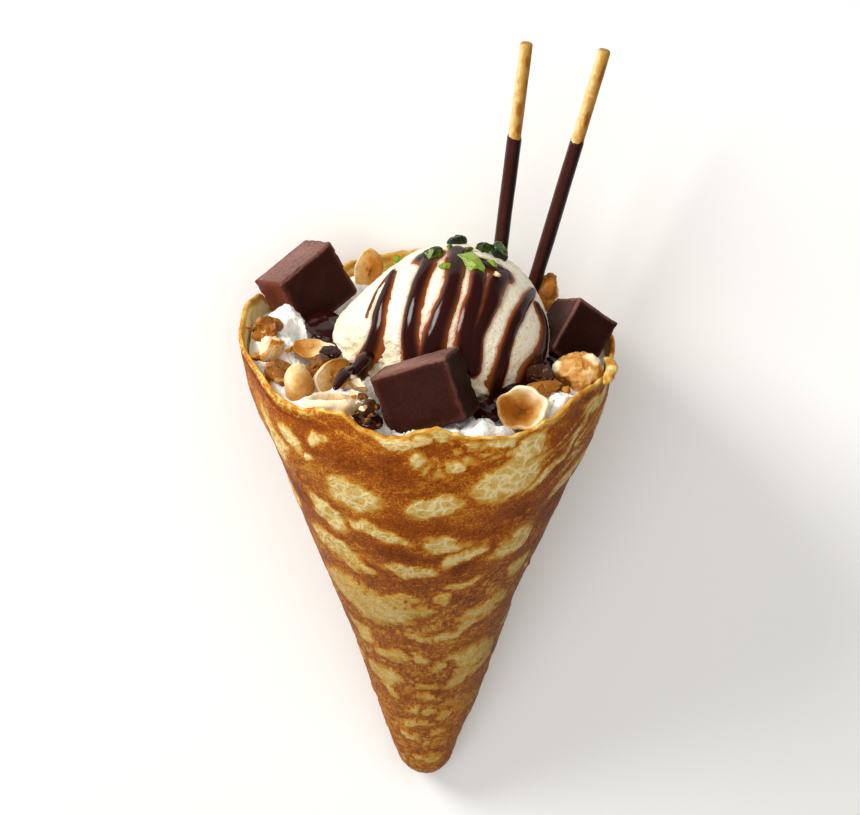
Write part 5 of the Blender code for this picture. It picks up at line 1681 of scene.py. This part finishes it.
class CREPE_OT_cream(bpy.types.Operator):
    """Make the whipped cream"""

    bl_idname = "crepe.cream"
    bl_label = "Whipped cream"

    def execute(self, context):
        make_cream(context.scene.crepe_sizes, context.scene.crepe_colours)
        return {"FINISHED"}


class CREPE_OT_scoop(bpy.types.Operator):
    """Make the ball of ice cream"""

    bl_idname = "crepe.scoop"
    bl_label = "Ice cream"

    def execute(self, context):
        make_scoop(context.scene.crepe_sizes, context.scene.crepe_colours)
        return {"FINISHED"}


class CREPE_OT_sauce(bpy.types.Operator):
    """Make the chocolate sauce"""

    bl_idname = "crepe.sauce"
    bl_label = "Sauce"

    def execute(self, context):
        make_sauce_runs(context.scene.crepe_colours)
        make_sauce_pools()
        return {"FINISHED"}


class CREPE_OT_blocks(bpy.types.Operator):
    """Make the chocolate blocks"""

    bl_idname = "crepe.blocks"
    bl_label = "Chocolate blocks"

    def execute(self, context):
        make_blocks(context.scene.crepe_sizes, context.scene.crepe_colours)
        return {"FINISHED"}


class CREPE_OT_sticks(bpy.types.Operator):
    """Make the biscuit sticks and their coats"""

    bl_idname = "crepe.sticks"
    bl_label = "Biscuit sticks"

    def execute(self, context):
        make_sticks(context.scene.crepe_sizes, context.scene.crepe_colours)
        return {"FINISHED"}


class CREPE_OT_nuts(bpy.types.Operator):
    """Make the hazelnuts and the pistachio"""

    bl_idname = "crepe.nuts"
    bl_label = "Nuts"

    def execute(self, context):
        make_nuts(context.scene.crepe_colours)
        make_pistachio(context.scene.crepe_colours)
        return {"FINISHED"}


class CREPE_OT_stage(bpy.types.Operator):
    """Make the floor, the lights and the camera"""

    bl_idname = "crepe.stage"
    bl_label = "Stage"

    def execute(self, context):
        make_stage(context.scene.crepe_colours)
        return {"FINISHED"}


OPERATORS = (CREPE_OT_crepe, CREPE_OT_cream, CREPE_OT_scoop, CREPE_OT_sauce, CREPE_OT_blocks,
             CREPE_OT_sticks, CREPE_OT_nuts, CREPE_OT_stage)


class CREPE_PT_panel(bpy.types.Panel):
    """Sizes, colours and operators of the crepe cone"""

    bl_label = "Crepe cone"
    bl_idname = "CREPE_PT_panel"
    bl_space_type = "VIEW_3D"
    bl_region_type = "UI"
    bl_category = "Crepe cone"

    def draw(self, context):
        """List every size, colour and operator."""
        for group in (context.scene.crepe_sizes, context.scene.crepe_colours):
            column = self.layout.column(align=True)
            for key in group.__annotations__:
                column.prop(group, key)
        for operator in OPERATORS:
            self.layout.operator(operator.bl_idname)


CLASSES = (CrepeConeSizes, CrepeConeColours, *OPERATORS, CREPE_PT_panel)


def register():
    """Register the classes and put the settings on the scene."""
    for item in CLASSES:
        bpy.utils.register_class(item)
    bpy.types.Scene.crepe_sizes = PointerProperty(type=CrepeConeSizes)
    bpy.types.Scene.crepe_colours = PointerProperty(type=CrepeConeColours)


def unregister():
    """Take the settings off the scene and unregister the classes."""
    del bpy.types.Scene.crepe_sizes
    del bpy.types.Scene.crepe_colours
    for item in reversed(CLASSES):
        bpy.utils.unregister_class(item)


def main():
    """Register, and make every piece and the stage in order."""
    register()
    bpy.ops.crepe.crepe()
    bpy.ops.crepe.cream()
    bpy.ops.crepe.scoop()
    bpy.ops.crepe.sauce()
    bpy.ops.crepe.blocks()
    bpy.ops.crepe.sticks()
    bpy.ops.crepe.nuts()
    bpy.ops.crepe.stage()


if __name__ == "__main__":
    main()
